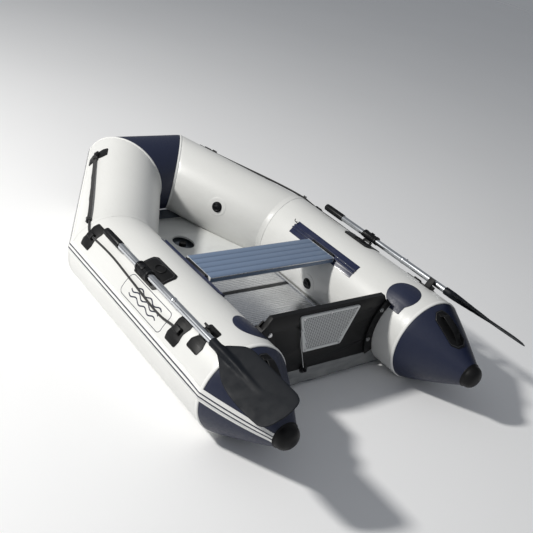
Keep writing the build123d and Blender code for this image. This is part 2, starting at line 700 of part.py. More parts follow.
lock_hole = rod(axis_point + oar_out * (oar_r - 30), oar_out, pin_r + 0.05, 60)
button_r = 4.0
button_x = joint_x - 22.0
button_point = shaft_line + Vector(button_x, 0, 0)
button_hole = rod(button_point, oar_out, button_r + 0.05, 30)

swage = 12.0
upper_shaft = shaft_tube(joint_x + swage, handle_end_x - 4, shaft_r, shaft_r - shaft_wall)
upper_shaft += shaft_tube(joint_x, joint_x + swage, shaft_r, spigot_r - shaft_wall)
upper_shaft += shaft_tube(joint_x - spigot_long, joint_x + 1, spigot_r, spigot_r - shaft_wall)
upper_shaft = upper_shaft - lock_hole - button_hole
save_pair("oar_upper_shaft", upper_shaft)

lower_shaft = shaft_tube(neck_x - 90, joint_x - 0.5, shaft_r, shaft_r - shaft_wall) - button_hole
save_pair("oar_lower_shaft", lower_shaft)

grip_r = 18.0
oar_grip = shaft_tube(grip_end_x, handle_end_x - 4, grip_r, shaft_r)
oar_grip += rod(shaft_line + Vector(handle_end_x - 4, 0, 0), forward, grip_r, 4)
oar_grip = fillet(oar_grip.edges().filter_by(GeomType.CIRCLE).group_by(Axis.X)[-1], 3)
save_pair("oar_grip", oar_grip)

sleeve_half = 46.0
sleeve = shaft_tube(lock_x - sleeve_half, lock_x + sleeve_half, sleeve_r, shaft_r)
sleeve += shaft_tube(lock_x - sleeve_half, lock_x - sleeve_half + 10, sleeve_r + 3, shaft_r)
sleeve += shaft_tube(lock_x + sleeve_half - 10, lock_x + sleeve_half, sleeve_r + 3, shaft_r)
sleeve -= lock_plane * block(-100, 100, -60, 60, 0, sleeve_flat_r)
sleeve -= lock_hole
save_pair("oar_sleeve", sleeve)

button_top = oar_r + shaft_r + 4.0
button = rod(shaft_line + Vector(button_x, 0, 0) + oar_out * 6.5, oar_out, button_r, button_top - oar_r - 6.5)
button += rod(shaft_line + Vector(button_x, 0, 0) + oar_out * 5.0, oar_out, 5.6, 3.0)
save_pair("oar_button", button)

blade_long = neck_x - overhang_x
blade_thick = 6.0
blade_plane = Plane(origin=shaft_line + Vector(neck_x, 0, 0), x_dir=(-1, 0, 0), z_dir=oar_out)
blade_side_sign = 1 if blade_plane.y_dir.dot(oar_side) > 0 else -1


def blade_point(u, v):
    return (u, v * blade_side_sign)


outer_edge = Spline(
    blade_point(-20, 17), blade_point(60, 30), blade_point(150, 76), blade_point(250, 91), blade_point(385, 87),
    tangents=[blade_point(1, 0), blade_point(1, -0.08)])
inner_edge = Spline(
    blade_point(-20, -17), blade_point(36, -36), blade_point(100, -80), blade_point(180, -87), blade_point(360, -86),
    tangents=[blade_point(1, 0), blade_point(1, 0)])
tip_curve = Spline(
    blade_point(385, 87), blade_point(423, 58), blade_point(blade_long, 8), blade_point(blade_long - 10, -60),
    blade_point(360, -86), tangents=[blade_point(1, -0.08), blade_point(-1, 0)])
blade_face = make_face(Curve() + [outer_edge, tip_curve, inner_edge, Line(blade_point(-20, 17), blade_point(-20, -17))])
blade = blade_plane * Pos(0, 0, -blade_thick / 2) * extrude(blade_face, blade_thick)
rib_long, rib_tip_r = 310.0, 4.0
socket_from, socket_to = -24.0, 30.0
socket_r = shaft_r + 4
blade += blade_plane * Pos(socket_from, 0, 0) * Rot(0, 90, 0) * Cylinder(
    socket_r, socket_to - socket_from, align=(Align.CENTER, Align.CENTER, Align.MIN))
blade += blade_plane * Pos(socket_to, 0, 0) * Rot(0, 90, 0) * Cone(
    socket_r, rib_tip_r, rib_long - socket_to, align=(Align.CENTER, Align.CENTER, Align.MIN))
blade -= rod(shaft_line + Vector(neck_x - 90, 0, 0), forward, shaft_r, 200)
save_pair("oar_blade", blade)

# ---- valves ----
side_valve = valve_body(side, side_s(valve_x), valve_angle, solid_side)
bow_valve = valve_body(bow, bow_valve_s, bow_valve_angle, solid_bow)
save("valve_bodies", group(side_valve, other_side(side_valve), other_side(bow_valve)))
save_pair("side_valve_cap", valve_cap(side, side_s(valve_x), valve_angle))
save("bow_valve_cap", other_side(valve_cap(bow, bow_valve_s, bow_valve_angle)))

# ---- bow tow ring ----
tow_angle = 130.0
tow_eye_r = tube_r + 11.0
tow_spot = nose.at(nose_y, tow_angle, tow_eye_r)
tow_base = wrapped(nose, nose_y, tow_angle, fillet(Rectangle(90, 80).vertices(), 30), tube_r, tube_r + 4)
eye_bar = rod(tow_spot - Vector(0, 9, 0), Vector(0, 1, 0), 8, 18)
ring_rod_r = 4.0
tow_base = tow_base + (eye_bar - bar(nose, tube_r, 0, 0)) - rod(
    tow_spot - Vector(0, 30, 0), Vector(0, 1, 0), ring_rod_r + 0.2, 60)
save("tow_patch", tow_base)
ring_half, ring_drop = 24.0, 46.0
ring_points = [tow_spot + Vector(0, -ring_half, 0), tow_spot + Vector(0, ring_half, 0),
               tow_spot + Vector(0, ring_half * 0.7, -ring_drop), tow_spot + Vector(0, -ring_half * 0.7, -ring_drop)]
ring_path = FilletPolyline(*ring_points, radius=10, close=True)
ring_start = ring_path @ 0
tow_ring = sweep(Plane(origin=ring_start, z_dir=ring_path % 0) * Circle(ring_rod_r), path=ring_path)
save("tow_ring", tow_ring)
print("tow eye at", tow_spot)
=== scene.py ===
# Inflatable dinghy: fabric tubes, stern cones, transom, planked floor, bench, oars, ropes and fittings.
import bpy
import bmesh
import json
from math import atan, cos, degrees, exp, hypot, pi, radians, sin, sqrt, tan
from mathutils import Matrix, Vector

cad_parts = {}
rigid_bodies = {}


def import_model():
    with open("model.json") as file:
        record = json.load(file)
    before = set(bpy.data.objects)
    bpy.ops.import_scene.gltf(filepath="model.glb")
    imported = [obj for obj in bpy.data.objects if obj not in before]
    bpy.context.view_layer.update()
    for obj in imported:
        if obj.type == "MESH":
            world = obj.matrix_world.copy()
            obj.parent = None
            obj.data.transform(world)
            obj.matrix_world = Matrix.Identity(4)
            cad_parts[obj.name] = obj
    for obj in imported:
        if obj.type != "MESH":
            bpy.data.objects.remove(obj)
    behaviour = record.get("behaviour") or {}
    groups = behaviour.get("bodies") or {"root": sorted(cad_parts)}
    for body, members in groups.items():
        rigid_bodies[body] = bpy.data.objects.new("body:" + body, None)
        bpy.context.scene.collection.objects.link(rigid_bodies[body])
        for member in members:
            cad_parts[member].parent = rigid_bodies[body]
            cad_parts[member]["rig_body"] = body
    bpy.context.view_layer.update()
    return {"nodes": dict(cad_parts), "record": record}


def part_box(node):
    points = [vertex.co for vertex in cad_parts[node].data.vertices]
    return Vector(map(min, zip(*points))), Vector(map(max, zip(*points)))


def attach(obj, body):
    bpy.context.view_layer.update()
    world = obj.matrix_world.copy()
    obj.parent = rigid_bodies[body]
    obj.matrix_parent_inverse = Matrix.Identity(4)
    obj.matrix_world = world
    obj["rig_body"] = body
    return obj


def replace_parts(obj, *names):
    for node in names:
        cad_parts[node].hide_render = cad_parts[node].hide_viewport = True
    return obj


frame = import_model()
nodes = frame["nodes"]
print("frame loaded,", len(nodes), "nodes")

# Driving sizes of the hull in metres, as the CAD model has them. +X is the bow, +Y is port.
hull = {
    "tubeRadius": 0.208, "tubeY": 0.524, "tubeZ": 0.208,
    "coneBaseX": -0.7925, "coneEndX": -1.0800, "coneEndRadius": 0.051, "capFrontX": -1.0715, "tipX": -1.1225,
    "shoulderX": 0.3265, "noseX": 0.9695, "noseY": 0.159, "noseZ": 0.301,
    "boardAftX": -0.6495, "boardThick": 0.025, "boardTop": 0.406,
    "oarAngle": 33.0, "oarRadius": 0.245, "lockX": -0.1825,
}
tubeRadius = hull["tubeRadius"]


# runs of tube
class Run:
    # A straight run of tube. An angle is measured from its top, positive towards the outboard side.
    def __init__(self, start, end, outHint):
        self.start, self.end = Vector(start), Vector(end)
        self.along = (self.end - self.start).normalized()
        hint = Vector(outHint)
        self.out = (hint - self.along * hint.dot(self.along)).normalized()
        up = self.along.cross(self.out)
        self.up = up if up.z > 0 else -up
        self.length = (self.end - self.start).length
        self.startNormal, self.endNormal = self.along, self.along

    def radial(self, angle):
        return self.out * sin(radians(angle)) + self.up * cos(radians(angle))

    def at(self, s, angle, r):
        return self.start + self.along * s + self.radial(angle) * r

    def startAt(self, angle, r):
        return -self.radial(angle).dot(self.startNormal) * r / self.along.dot(self.startNormal)

    def endAt(self, angle, r):
        return self.length - self.radial(angle).dot(self.endNormal) * r / self.along.dot(self.endNormal)

    def between(self, t, angle, r):
        # t goes from 0 at the first joint plane to 1 at the second
        low, high = self.startAt(angle, r), self.endAt(angle, r)
        return self.at(low + (high - low) * t, angle, r)


shoulder = Vector((hull["shoulderX"], hull["tubeY"], hull["tubeZ"]))
noseCorner = Vector((hull["noseX"], hull["noseY"], hull["noseZ"]))
sideRun = Run((hull["coneBaseX"], hull["tubeY"], hull["tubeZ"]), shoulder, (0, 1, 0))
bowRun = Run(shoulder, noseCorner, (0, 1, 0))
noseRun = Run(noseCorner, (noseCorner.x, -noseCorner.y, noseCorner.z), (1, 0, 0))
sideRun.endNormal = bowRun.startNormal = (sideRun.along + bowRun.along).normalized()
bowRun.endNormal = noseRun.startNormal = (bowRun.along + noseRun.along).normalized()
noseRun.endNormal = Vector((-noseRun.startNormal.x, noseRun.startNormal.y, -noseRun.startNormal.z))


def sideS(x):
    return x - hull["coneBaseX"]


def coneRadius(x):
    # nearly straight, a little fuller in the middle
    t = (hull["coneBaseX"] - x) / (hull["coneBaseX"] - hull["coneEndX"])
    t = min(max(t, 0), 1)
    return tubeRadius + (hull["coneEndRadius"] - tubeRadius) * t + 0.016 * t * (1 - t)


def onCone(x, angle, rise=0.0):
    r = coneRadius(x) + rise
    return Vector((x, hull["tubeY"] + r * sin(radians(angle)), hull["tubeZ"] + r * cos(radians(angle))))


# mesh helpers
def newPiece(name, mesh, body, slot, *materials):
    piece = bpy.data.objects.new(name, mesh)
    bpy.context.scene.collection.objects.link(piece)
    for material in materials:
        mesh.materials.append(material)
    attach(piece, body)
    return piece


def ringMesh(name, rings, closed=False, capped=True, faceMaterial=None, sharpEnds=True):
    # Skin over rings of points; u runs along the rings in metres and v round them.
    bm = bmesh.new()
    uvLayer = bm.loops.layers.uv.new("UVMap")
    count = len(rings[0])
    grid = [[bm.verts.new(p) for p in ring] for ring in rings]
    lengths, widths = [0.0], [0.0]
    for a, b in zip(rings, rings[1:]):
        lengths.append(lengths[-1] + (Vector(b[0]) - Vector(a[0])).length)
    for k in range(count):
        a, b = Vector(rings[len(rings) // 2][k]), Vector(rings[len(rings) // 2][(k + 1) % count])
        widths.append(widths[-1] + (b - a).length)
    last = len(rings) if closed else len(rings) - 1
    for i in range(last):
        j = (i + 1) % len(rings)
        for k in range(count):
            m = (k + 1) % count
            face = bm.faces.new((grid[i][k], grid[i][m], grid[j][m], grid[j][k]))
            face.smooth = True
            if faceMaterial:
                face.material_index = faceMaterial(i, k)
            endLength = lengths[i + 1] if i + 1 < len(lengths) else lengths[i] + 0.02
            spots = ((lengths[i], widths[k]), (lengths[i], widths[k + 1]),
                     (endLength, widths[k + 1]), (endLength, widths[k]))
            for loop, spot in zip(face.loops, spots):
                loop[uvLayer].uv = spot
    if capped and not closed:
        for ring in (grid[0], grid[-1]):
            if (ring[0].co - ring[len(ring) // 2].co).length < 1e-7:
                continue
            face = bm.faces.new(ring)
            for edge in face.edges:
                edge.smooth = not sharpEnds
    bmesh.ops.remove_doubles(bm, verts=bm.verts, dist=2e-7)
    bmesh.ops.recalc_face_normals(bm, faces=bm.faces)
    mesh = bpy.data.meshes.new(name)
    bm.to_mesh(mesh)
    bm.free()
    return mesh


def mirrored(mesh, name):
    # the same mesh on the other side of the hull
    other = mesh.copy()
    other.name = name
    other.transform(Matrix.Scale(-1, 4, (0, 1, 0)))
    other.flip_normals()
    return other


def joinMeshes(name, meshes):
    bm = bmesh.new()
    for mesh in meshes:
        bm.from_mesh(mesh)
    whole = bpy.data.meshes.new(name)
    bm.to_mesh(whole)
    bm.free()
    return whole


def bothSides(mesh, name):
    return joinMeshes(name, [mesh, mirrored(mesh, name + "Other")])


def lathe(name, origin, axis, profile, segments=48, faceMaterial=None):
    # profile is a list of (distance along the axis, radius)
    axis = Vector(axis).normalized()
    first = axis.orthogonal().normalized()
    second = axis.cross(first)
    rings = []
    for along, r in profile:
        rings.append([Vector(origin) + axis * along + (first * cos(a) + second * sin(a)) * max(r, 1e-8)
                      for a in (2 * pi * k / segments for k in range(segments))])
    return ringMesh(name, rings, faceMaterial=faceMaterial)


def rounded(points, radius, steps=5):
    # closed outline with each corner turned into an arc
    result = []
    count = len(points)
    for i, corner in enumerate(points):
        corner = Vector(corner)
        before = (Vector(points[i - 1]) - corner)
        after = (Vector(points[(i + 1) % count]) - corner)
        half = before.angle(after) / 2
        r = min(radius, 0.45 * min(before.length, after.length) * tan(half))
        reach = r / tan(half)
        centre = corner + (before.normalized() + after.normalized()).normalized() * (r / sin(half))
        a, b = corner + before.normalized() * reach - centre, corner + after.normalized() * reach - centre
        turn = a.angle_signed(b)
        for k in range(steps + 1):
            c, s = cos(-turn * k / steps), sin(-turn * k / steps)
            result.append(centre + Vector((a.x * c - a.y * s, a.x * s + a.y * c)))
    return result


def dense(outline, step):
    # the outline with points added so that none are further apart than the step
    result = []
    for a, b in zip(outline, outline[1:] + outline[:1]):
        parts = max(1, int((b - a).length / step + 0.5))
        result.extend(a.lerp(b, k / parts) for k in range(parts))
    return result


def patchMesh(name, place, outline, thick, edge=0.002, rim=None, inner=(0.9, 0.72, 0.5, 0.28)):
    # Flat moulding bent onto a surface: place(u, v, rise) gives the point.
    # rim is (inset, rise, material index) for a raised line just inside the edge.
    middle = sum(outline, Vector((0, 0))) / len(outline)
    half = sum((p - middle).length for p in outline) / len(outline)
    scales = [(1.0, -0.001, 0), (1.0, thick - edge, 0), (1 - 0.4 * edge / half, thick - 0.3 * edge, 0),
              (1 - edge / half, thick, 0)]
    if rim:
        inset, wide, rise, index = rim
        marks = ((inset, 0, 0), (inset + 0.15 * wide, rise, index), (inset + 0.85 * wide, rise, index),
                 (inset + wide, 0, 0))
        scales += [(1 - (edge + mark) / half, thick + lift, part) for mark, lift, part in marks]
    scales += [(share, thick, 0) for share in inner]
    scales += [(0.02, thick, 0)]
    rings = [[place(middle.x + (p.x - middle.x) * scale, middle.y + (p.y - middle.y) * scale, rise)
              for p in outline] for scale, rise, _ in scales]
    indexes = [index for _, _, index in scales]
    return ringMesh(name, rings, faceMaterial=lambda i, k: max(indexes[i], indexes[i + 1]) if rim else 0,
                    sharpEnds=False)


def strip(name, line, width, place, rise, closed=False):
    # narrow flat strip along a line of (u, v) points
    rings = []
    count = len(line)
    for i, p in enumerate(line):
        a = line[(i - 1) % count] if closed or i > 0 else p
        b = line[(i + 1) % count] if closed or i < count - 1 else p
        along = (b - a).normalized()
        normal = Vector((-along.y, along.x)) * width / 2
        rings.append([place(*(p - normal), -0.0002), place(*(p - normal), rise), place(*(p + normal), rise),
                      place(*(p + normal), -0.0002)])
    return ringMesh(name, rings, closed=closed)


def onTube(run, s, angle):
    # place function for patchMesh on a tube: u along it, v round it towards the outboard side
    return lambda u, v, rise: run.at(s + u, angle + degrees(v / tubeRadius), tubeRadius + rise)


def softened(node, width, *materials, name=None, body=None, slot=None, angle=32, segments=2):
    # A copy of a CAD node's mesh, merged and with its edges rounded, which stands for the node.
    source = nodes[node]
    mesh = source.data.copy()
    mesh.name = name or node + "Finished"
    bm = bmesh.new()
    bm.from_mesh(mesh)
    bmesh.ops.remove_doubles(bm, verts=bm.verts, dist=2e-6)
    bmesh.ops.dissolve_limit(bm, angle_limit=radians(0.6), verts=bm.verts, edges=bm.edges)
    for face in bm.faces:
        face.smooth = True
    bm.to_mesh(mesh)
    bm.free()
    mesh.materials.clear()
    piece = bpy.data.objects.new(mesh.name, mesh)
    bpy.context.scene.collection.objects.link(piece)
    bevel = piece.modifiers.new("edges", "BEVEL")
    bevel.width, bevel.segments, bevel.limit_method = width, segments, "ANGLE"
    bevel.angle_limit = radians(angle)
    bevel.harden_normals = True
    done = bpy.data.meshes.new_from_object(piece.evaluated_get(bpy.context.evaluated_depsgraph_get()))
    bpy.data.objects.remove(piece)
    record = frame["record"]["subparts"]
    slot = slot or next(part["material_slot"] for part in record if part["node"] == node)
    piece = newPiece(name or node + "Finished", done, body or source["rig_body"], slot, *materials)
    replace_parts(piece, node)
    return piece


# material helpers
def shaderOf(name, color, roughness, metallic=0.0, **sockets):
    material = bpy.data.materials.new(name)
    material.use_nodes = True
    shader = material.node_tree.nodes["Principled BSDF"]
    shader.inputs["Base Color"].default_value = (*color, 1)
    shader.inputs["Roughness"].default_value = roughness
    shader.inputs["Metallic"].default_value = metallic
    for socket, value in sockets.items():
        shader.inputs[socket.replace("_", " ")].default_value = value
    return material, material.node_tree, shader


def addNode(tree, kind, settings=None, **inputs):
    node = tree.nodes.new(kind)
    for key, value in (settings or {}).items():
        setattr(node, key, value)
    for key, value in inputs.items():
        socket = node.inputs[key.replace("_", " ")]
        if isinstance(value, bpy.types.NodeSocket):
            tree.links.new(value, socket)
        else:
            socket.default_value = value
    return node


def coordsOf(tree, kind="Object", scale=(1, 1, 1)):
    source = addNode(tree, "ShaderNodeTexCoord").outputs[kind]
    return addNode(tree, "ShaderNodeMapping", Vector=source, Scale=scale).outputs["Vector"]


def noiseOf(tree, coords, scale, detail=3.0, roughness=0.5):
    return addNode(tree, "ShaderNodeTexNoise", Vector=coords, Scale=scale, Detail=detail,
                   Roughness=roughness).outputs["Fac"]


def rangeOf(tree, value, low, high, fromLow=0.3, fromHigh=0.7):
    node = addNode(tree, "ShaderNodeMapRange", Value=value)
    node.inputs["From Min"].default_value, node.inputs["From Max"].default_value = fromLow, fromHigh
    node.inputs["To Min"].default_value, node.inputs["To Max"].default_value = low, high
    return node.outputs["Result"]


def blendColors(tree, factor, first, second, blend="MIX"):
    node = addNode(tree, "ShaderNodeMix", {"data_type": "RGBA", "blend_type": blend})
    for socket, value in ((node.inputs[0], factor), (node.inputs[6], first), (node.inputs[7], second)):
        if isinstance(value, bpy.types.NodeSocket):
            tree.links.new(value, socket)
        else:
            socket.default_value = value if isinstance(value, float) else (*value, 1)
    return node.outputs[2]


def bumps(tree, shader, heights):
    # heights is a list of (height socket, distance in metres, strength)
    normal = None
    for height, distance, strength in heights:
        node = addNode(tree, "ShaderNodeBump", Height=height, Distance=distance, Strength=strength)
        if normal:
            tree.links.new(normal, node.inputs["Normal"])
        normal = node.outputs["Normal"]
    tree.links.new(normal, shader.inputs["Normal"])


def weaveOf(tree, pitch):
    # plain weave on the piece's own UV map, which is in metres
    coords = coordsOf(tree, "UV")
    crossed = addNode(tree, "ShaderNodeMath", {"operation": "MULTIPLY"})
    for axis, socket in zip(("X", "Y"), crossed.inputs):
        wave = addNode(tree, "ShaderNodeTexWave", {"wave_type": "BANDS", "bands_direction": axis},
                       Vector=coords, Scale=pi / 10 / pitch, Distortion=0.6)
        tree.links.new(wave.outputs["Fac"], socket)
    return crossed.outputs[0]


def coatedFabric(name, light, dark, roughness, grime, pitch=0.0014, weaveStrength=0.25, **sockets):
    # PVC-coated cloth: a fine weave showing through, soft undulation, faint scuffs and dust
    material, tree, shader = shaderOf(name, light, roughness, **sockets)
    coords = coordsOf(tree)
    cloudy = rangeOf(tree, noiseOf(tree, coords, 2.6, 4), 0, 1)
    color = blendColors(tree, cloudy, light, dark)
    scuffs = rangeOf(tree, noiseOf(tree, coordsOf(tree, "Object", (14, 60, 60)), 1.0, 6, 0.65), 0, 0.35,
                     0.56, 0.8)
    color = blendColors(tree, scuffs, color, grime)
    tree.links.new(color, shader.inputs["Base Color"])
    grain = noiseOf(tree, coords, 90, 3)
    tree.links.new(rangeOf(tree, grain, roughness - 0.06, roughness + 0.08), shader.inputs["Roughness"])
    weave = weaveOf(tree, pitch)
    bumps(tree, shader, [(weave, 0.0002, weaveStrength), (noiseOf(tree, coords, 9, 2), 0.002, 0.10)])
    return material


def moulded(name, color, roughness, grainScale=420, grainStrength=0.25, dust=(0.08, 0.08, 0.08), **sockets):
    # moulded plastic or rubber: fine grain, a little dust in broad patches
    material, tree, shader = shaderOf(name, color, roughness, **sockets)
    coords = coordsOf(tree)
    patches = rangeOf(tree, noiseOf(tree, coords, 11, 5, 0.6), 0, 0.22, 0.5, 0.75)
    tree.links.new(blendColors(tree, patches, color, dust), shader.inputs["Base Color"])
    grain = noiseOf(tree, coords, grainScale, 2)
    tree.links.new(rangeOf(tree, noiseOf(tree, coords, 24, 3), roughness - 0.07, roughness + 0.1),
                   shader.inputs["Roughness"])
    bumps(tree, shader, [(grain, 0.0004, grainStrength)])
    return material


def brushedMetal(name, color, roughness, stretch, streak=0.12, strength=0.12, **sockets):
    # stretch is the coordinate scale: small along the brushing, large across it
    material, tree, shader = shaderOf(name, color, roughness, metallic=1.0, **sockets)
    streaks = noiseOf(tree, coordsOf(tree, "Object", stretch), 1.0, 4, 0.6)
    darker = tuple(value * 0.8 for value in color)
    tree.links.new(blendColors(tree, rangeOf(tree, streaks, 0, 1), color, darker),
                   shader.inputs["Base Color"])
    clouds = noiseOf(tree, coordsOf(tree), 7, 4)
    sheen = addNode(tree, "ShaderNodeMath", {"operation": "ADD"})
    tree.links.new(rangeOf(tree, streaks, roughness - streak / 2, roughness + streak / 2), sheen.inputs[0])
    tree.links.new(rangeOf(tree, clouds, -0.04, 0.05), sheen.inputs[1])
    tree.links.new(sheen.outputs[0], shader.inputs["Roughness"])
    bumps(tree, shader, [(streaks, 0.0003, strength)])
    return material


def boardMaterial():
    # painted plywood: long soft grain under a satin black film
    material, tree, shader = shaderOf("blackPlywood", (0.005, 0.005, 0.0055), 0.36, Specular_IOR_Level=0.22)
    grain = noiseOf(tree, coordsOf(tree, "Object", (60, 3, 60)), 1.0, 6, 0.6)
    color = blendColors(tree, rangeOf(tree, grain, 0, 1), (0.004, 0.004, 0.0045), (0.008, 0.008, 0.0085))
    tree.links.new(color, shader.inputs["Base Color"])
    tree.links.new(rangeOf(tree, grain, 0.28, 0.42), shader.inputs["Roughness"])
    bumps(tree, shader, [(grain, 0.0006, 0.15)])
    return material


def ropeMaterial(name, color, lighter, pitch):
    # laid or braided fibre: fine diagonal threads on the cord's own UV map
    material, tree, shader = shaderOf(name, color, 0.75, Sheen_Weight=0.3, Sheen_Roughness=0.5)
    threads = addNode(tree, "ShaderNodeTexWave", {"bands_direction": "DIAGONAL"}, Vector=coordsOf(tree, "UV"),
                      Scale=pi / 10 / pitch, Distortion=1.5).outputs["Fac"]
    tree.links.new(blendColors(tree, threads, color, lighter), shader.inputs["Base Color"])
    bumps(tree, shader, [(threads, 0.0003, 0.5)])
    return material


white = coatedFabric("tubeFabric", (0.75, 0.75, 0.73), (0.72, 0.72, 0.70), 0.38, (0.65, 0.645, 0.62),
                     Coat_Weight=0.15, Coat_Roughness=0.22)
navy = coatedFabric("navyFabric", (0.0060, 0.0105, 0.036), (0.0075, 0.013, 0.041), 0.47, (0.014, 0.020,
    0.050),
                    Specular_IOR_Level=0.6)
band = coatedFabric("strakeBand", (0.83, 0.83, 0.81), (0.80, 0.80, 0.78), 0.38, (0.72, 0.72, 0.69),
                    weaveStrength=0.05)
stripe = moulded("pinstripe", (0.007, 0.010, 0.034), 0.42, dust=(0.012, 0.015, 0.04))
trackBlue = moulded("trackBlue", (0.0065, 0.012, 0.048), 0.34, dust=(0.012, 0.018, 0.055), Coat_Weight=0.15)
greyCloth = coatedFabric("greyFabric", (0.13, 0.15, 0.18), (0.15, 0.17, 0.20), 0.4, (0.24, 0.24, 0.24))
rubber = moulded("blackRubber", (0.0055, 0.0055, 0.006), 0.46, Specular_IOR_Level=0.22, grainScale=300,
                 grainStrength=0.35,
                 dust=(0.014, 0.014, 0.014))
mouldLine = moulded("mouldLine", (0.05, 0.052, 0.058), 0.35, dust=(0.09, 0.09, 0.09))
plastic = moulded("blackPlastic", (0.006, 0.0065, 0.008), 0.38, Specular_IOR_Level=0.22, dust=(0.014,
    0.015, 0.017))
bladePlastic = moulded("bladePlastic", (0.0052, 0.0068, 0.0100), 0.50, Specular_IOR_Level=0.14,
                       grainScale=260, dust=(0.009, 0.011, 0.015))
trim = moulded("paleTrim", (0.70, 0.71, 0.70), 0.42, dust=(0.6, 0.6, 0.58))
padGrey = moulded("padGrey", (0.62, 0.63, 0.63), 0.5, dust=(0.52, 0.52, 0.50))
pipGrey = moulded("padPips", (0.045, 0.047, 0.05), 0.5, dust=(0.08, 0.08, 0.08))
plankMetal = brushedMetal("plankAluminium", (0.78, 0.79, 0.81), 0.25, (420, 3, 420))
shaftMetal = brushedMetal("shaftAluminium", (0.72, 0.74, 0.77), 0.24, (3, 260, 260))
benchPaint = moulded("benchPaint", (0.150, 0.205, 0.305), 0.40, grainScale=180, grainStrength=0.08,
                     dust=(0.19, 0.24, 0.33))
steel = brushedMetal("stainlessSteel", (0.62, 0.62, 0.63), 0.2, (200, 30, 200))
plywood = boardMaterial()
ropeBlack = ropeMaterial("ropeFibre", (0.006, 0.006, 0.0065), (0.016, 0.016, 0.017), 0.0016)
lineWhite = ropeMaterial("whiteLine", (0.8, 0.81, 0.81), (0.6, 0.61, 0.61), 0.001)
print("materials made")


# camera, light and floor
def aimedCamera():
    # turned by yaw, pitch and roll from looking along +X
    look = {"place": (-2.632, 2.2192, 2.0527), "yaw": -42.193, "pitch": -27.416, "roll": 13.549,
            "lens": 53.52}
    yaw, pitch, roll = (radians(look[key]) for key in ("yaw", "pitch", "roll"))
    forward = Vector((cos(pitch) * cos(yaw), cos(pitch) * sin(yaw), sin(pitch)))
    level = forward.cross(Vector((0, 0, 1))).normalized()
    upright = level.cross(forward)
    right = level * cos(roll) + upright * sin(roll)
    up = -level * sin(roll) + upright * cos(roll)
    data = bpy.data.cameras.new("photoView")
    data.lens, data.sensor_width = look["lens"], 36
    data.clip_start, data.clip_end = 0.05, 60
    camera = bpy.data.objects.new("photoView", data)
    turn = Matrix((right, up, -forward)).transposed().to_4x4()
    camera.matrix_world = Matrix.Translation(look["place"]) @ turn
    bpy.context.scene.collection.objects.link(camera)
    bpy.context.scene.camera = camera


def softLight(name, place, target, size, power, color=(1, 1, 1)):
    data = bpy.data.lights.new(name, "AREA")
    data.shape, data.size, data.energy, data.color = "DISK", size, power, color
    lamp = bpy.data.objects.new(name, data)
    lamp.location = place
    lamp.rotation_euler = (Vector(target) - Vector(place)).to_track_quat("-Z", "Y").to_euler()
    bpy.context.scene.collection.objects.link(lamp)


def studio():
    lamps = {"key": ((2.0, 4.6, 4.9), 0.7, 420, (1, 0.985, 0.95)),
             "fill": ((-4.4, 1.4, 3.2), 2.5, 10, (0.93, 0.96, 1))}
    for name, (place, size, power, color) in lamps.items():
        softLight(name, place, (0, 0, 0.2), size, power, color)
    world = bpy.data.worlds.new("studio")
    bpy.context.scene.world = world
    world.use_nodes = True
    world.node_tree.nodes["Background"].inputs["Color"].default_value = (0.90, 0.94, 1.0, 1)
    world.node_tree.nodes["Background"].inputs["Strength"].default_value = 0.27
    bpy.context.scene.view_settings.view_transform = "Standard"
    bm = bmesh.new()
    bmesh.ops.create_grid(bm, x_segments=8, y_segments=8, size=14)
    mesh = bpy.data.meshes.new("floor")
    bm.to_mesh(mesh)
    bm.free()
    mesh.transform(Matrix.Translation((0, 0, -0.0006)))
    material, tree, shader = shaderOf("paleFloor", (0.93, 0.93, 0.93), 0.8)
    tint = rangeOf(tree, noiseOf(tree, coordsOf(tree), 0.7, 2), 0, 1)
    tree.links.new(blendColors(tree, tint, (0.93, 0.93, 0.935), (0.915, 0.915, 0.92)),
                   shader.inputs["Base Color"])
    mesh.materials.append(material)
    floor = bpy.data.objects.new("floor", mesh)
    bpy.context.scene.collection.objects.link(floor)


aimedCamera()
studio()
print("camera and studio made")


# ropes
rope = {"radius": 0.0053, "strands": 3, "lay": 0.036, "pathRadius": 0.2175}
lanyard = {"radius": 0.0017, "lay": 0.011}


def centreline(name, points):
    # the smooth line of one NURBS spline through the route, as points in order
    data = bpy.data.curves.new(name, "CURVE")
    data.dimensions, data.resolution_u = "3D", 24
    spline = data.splines.new("NURBS")
    spline.points.add(len(points) - 1)
    for point, place in zip(spline.points, points):
        point.co = (*place, 1)
    spline.order_u = 3
    spline.use_endpoint_u = True
    curve = bpy.data.objects.new(name, data)
    bpy.context.scene.collection.objects.link(curve)
    line = bpy.data.meshes.new_from_object(curve.evaluated_get(bpy.context.evaluated_depsgraph_get()))
    path = [v.co.copy() for v in line.vertices]
    bpy.data.objects.remove(curve)
    return path


def evenly(path, step):
    # the same line with points a step apart
    lengths = [0.0]
    for a, b in zip(path, path[1:]):
        lengths.append(lengths[-1] + (b - a).length)
    parts = max(2, round(lengths[-1] / step))
    result, i = [], 0
    for k in range(parts + 1):
        target = lengths[-1] * k / parts
        while i < len(path) - 2 and lengths[i + 1] < target:
            i += 1
        share = (target - lengths[i]) / max(lengths[i + 1] - lengths[i], 1e-9)
        result.append(path[i].lerp(path[i + 1], min(max(share, 0), 1)))
    return result, lengths[-1]


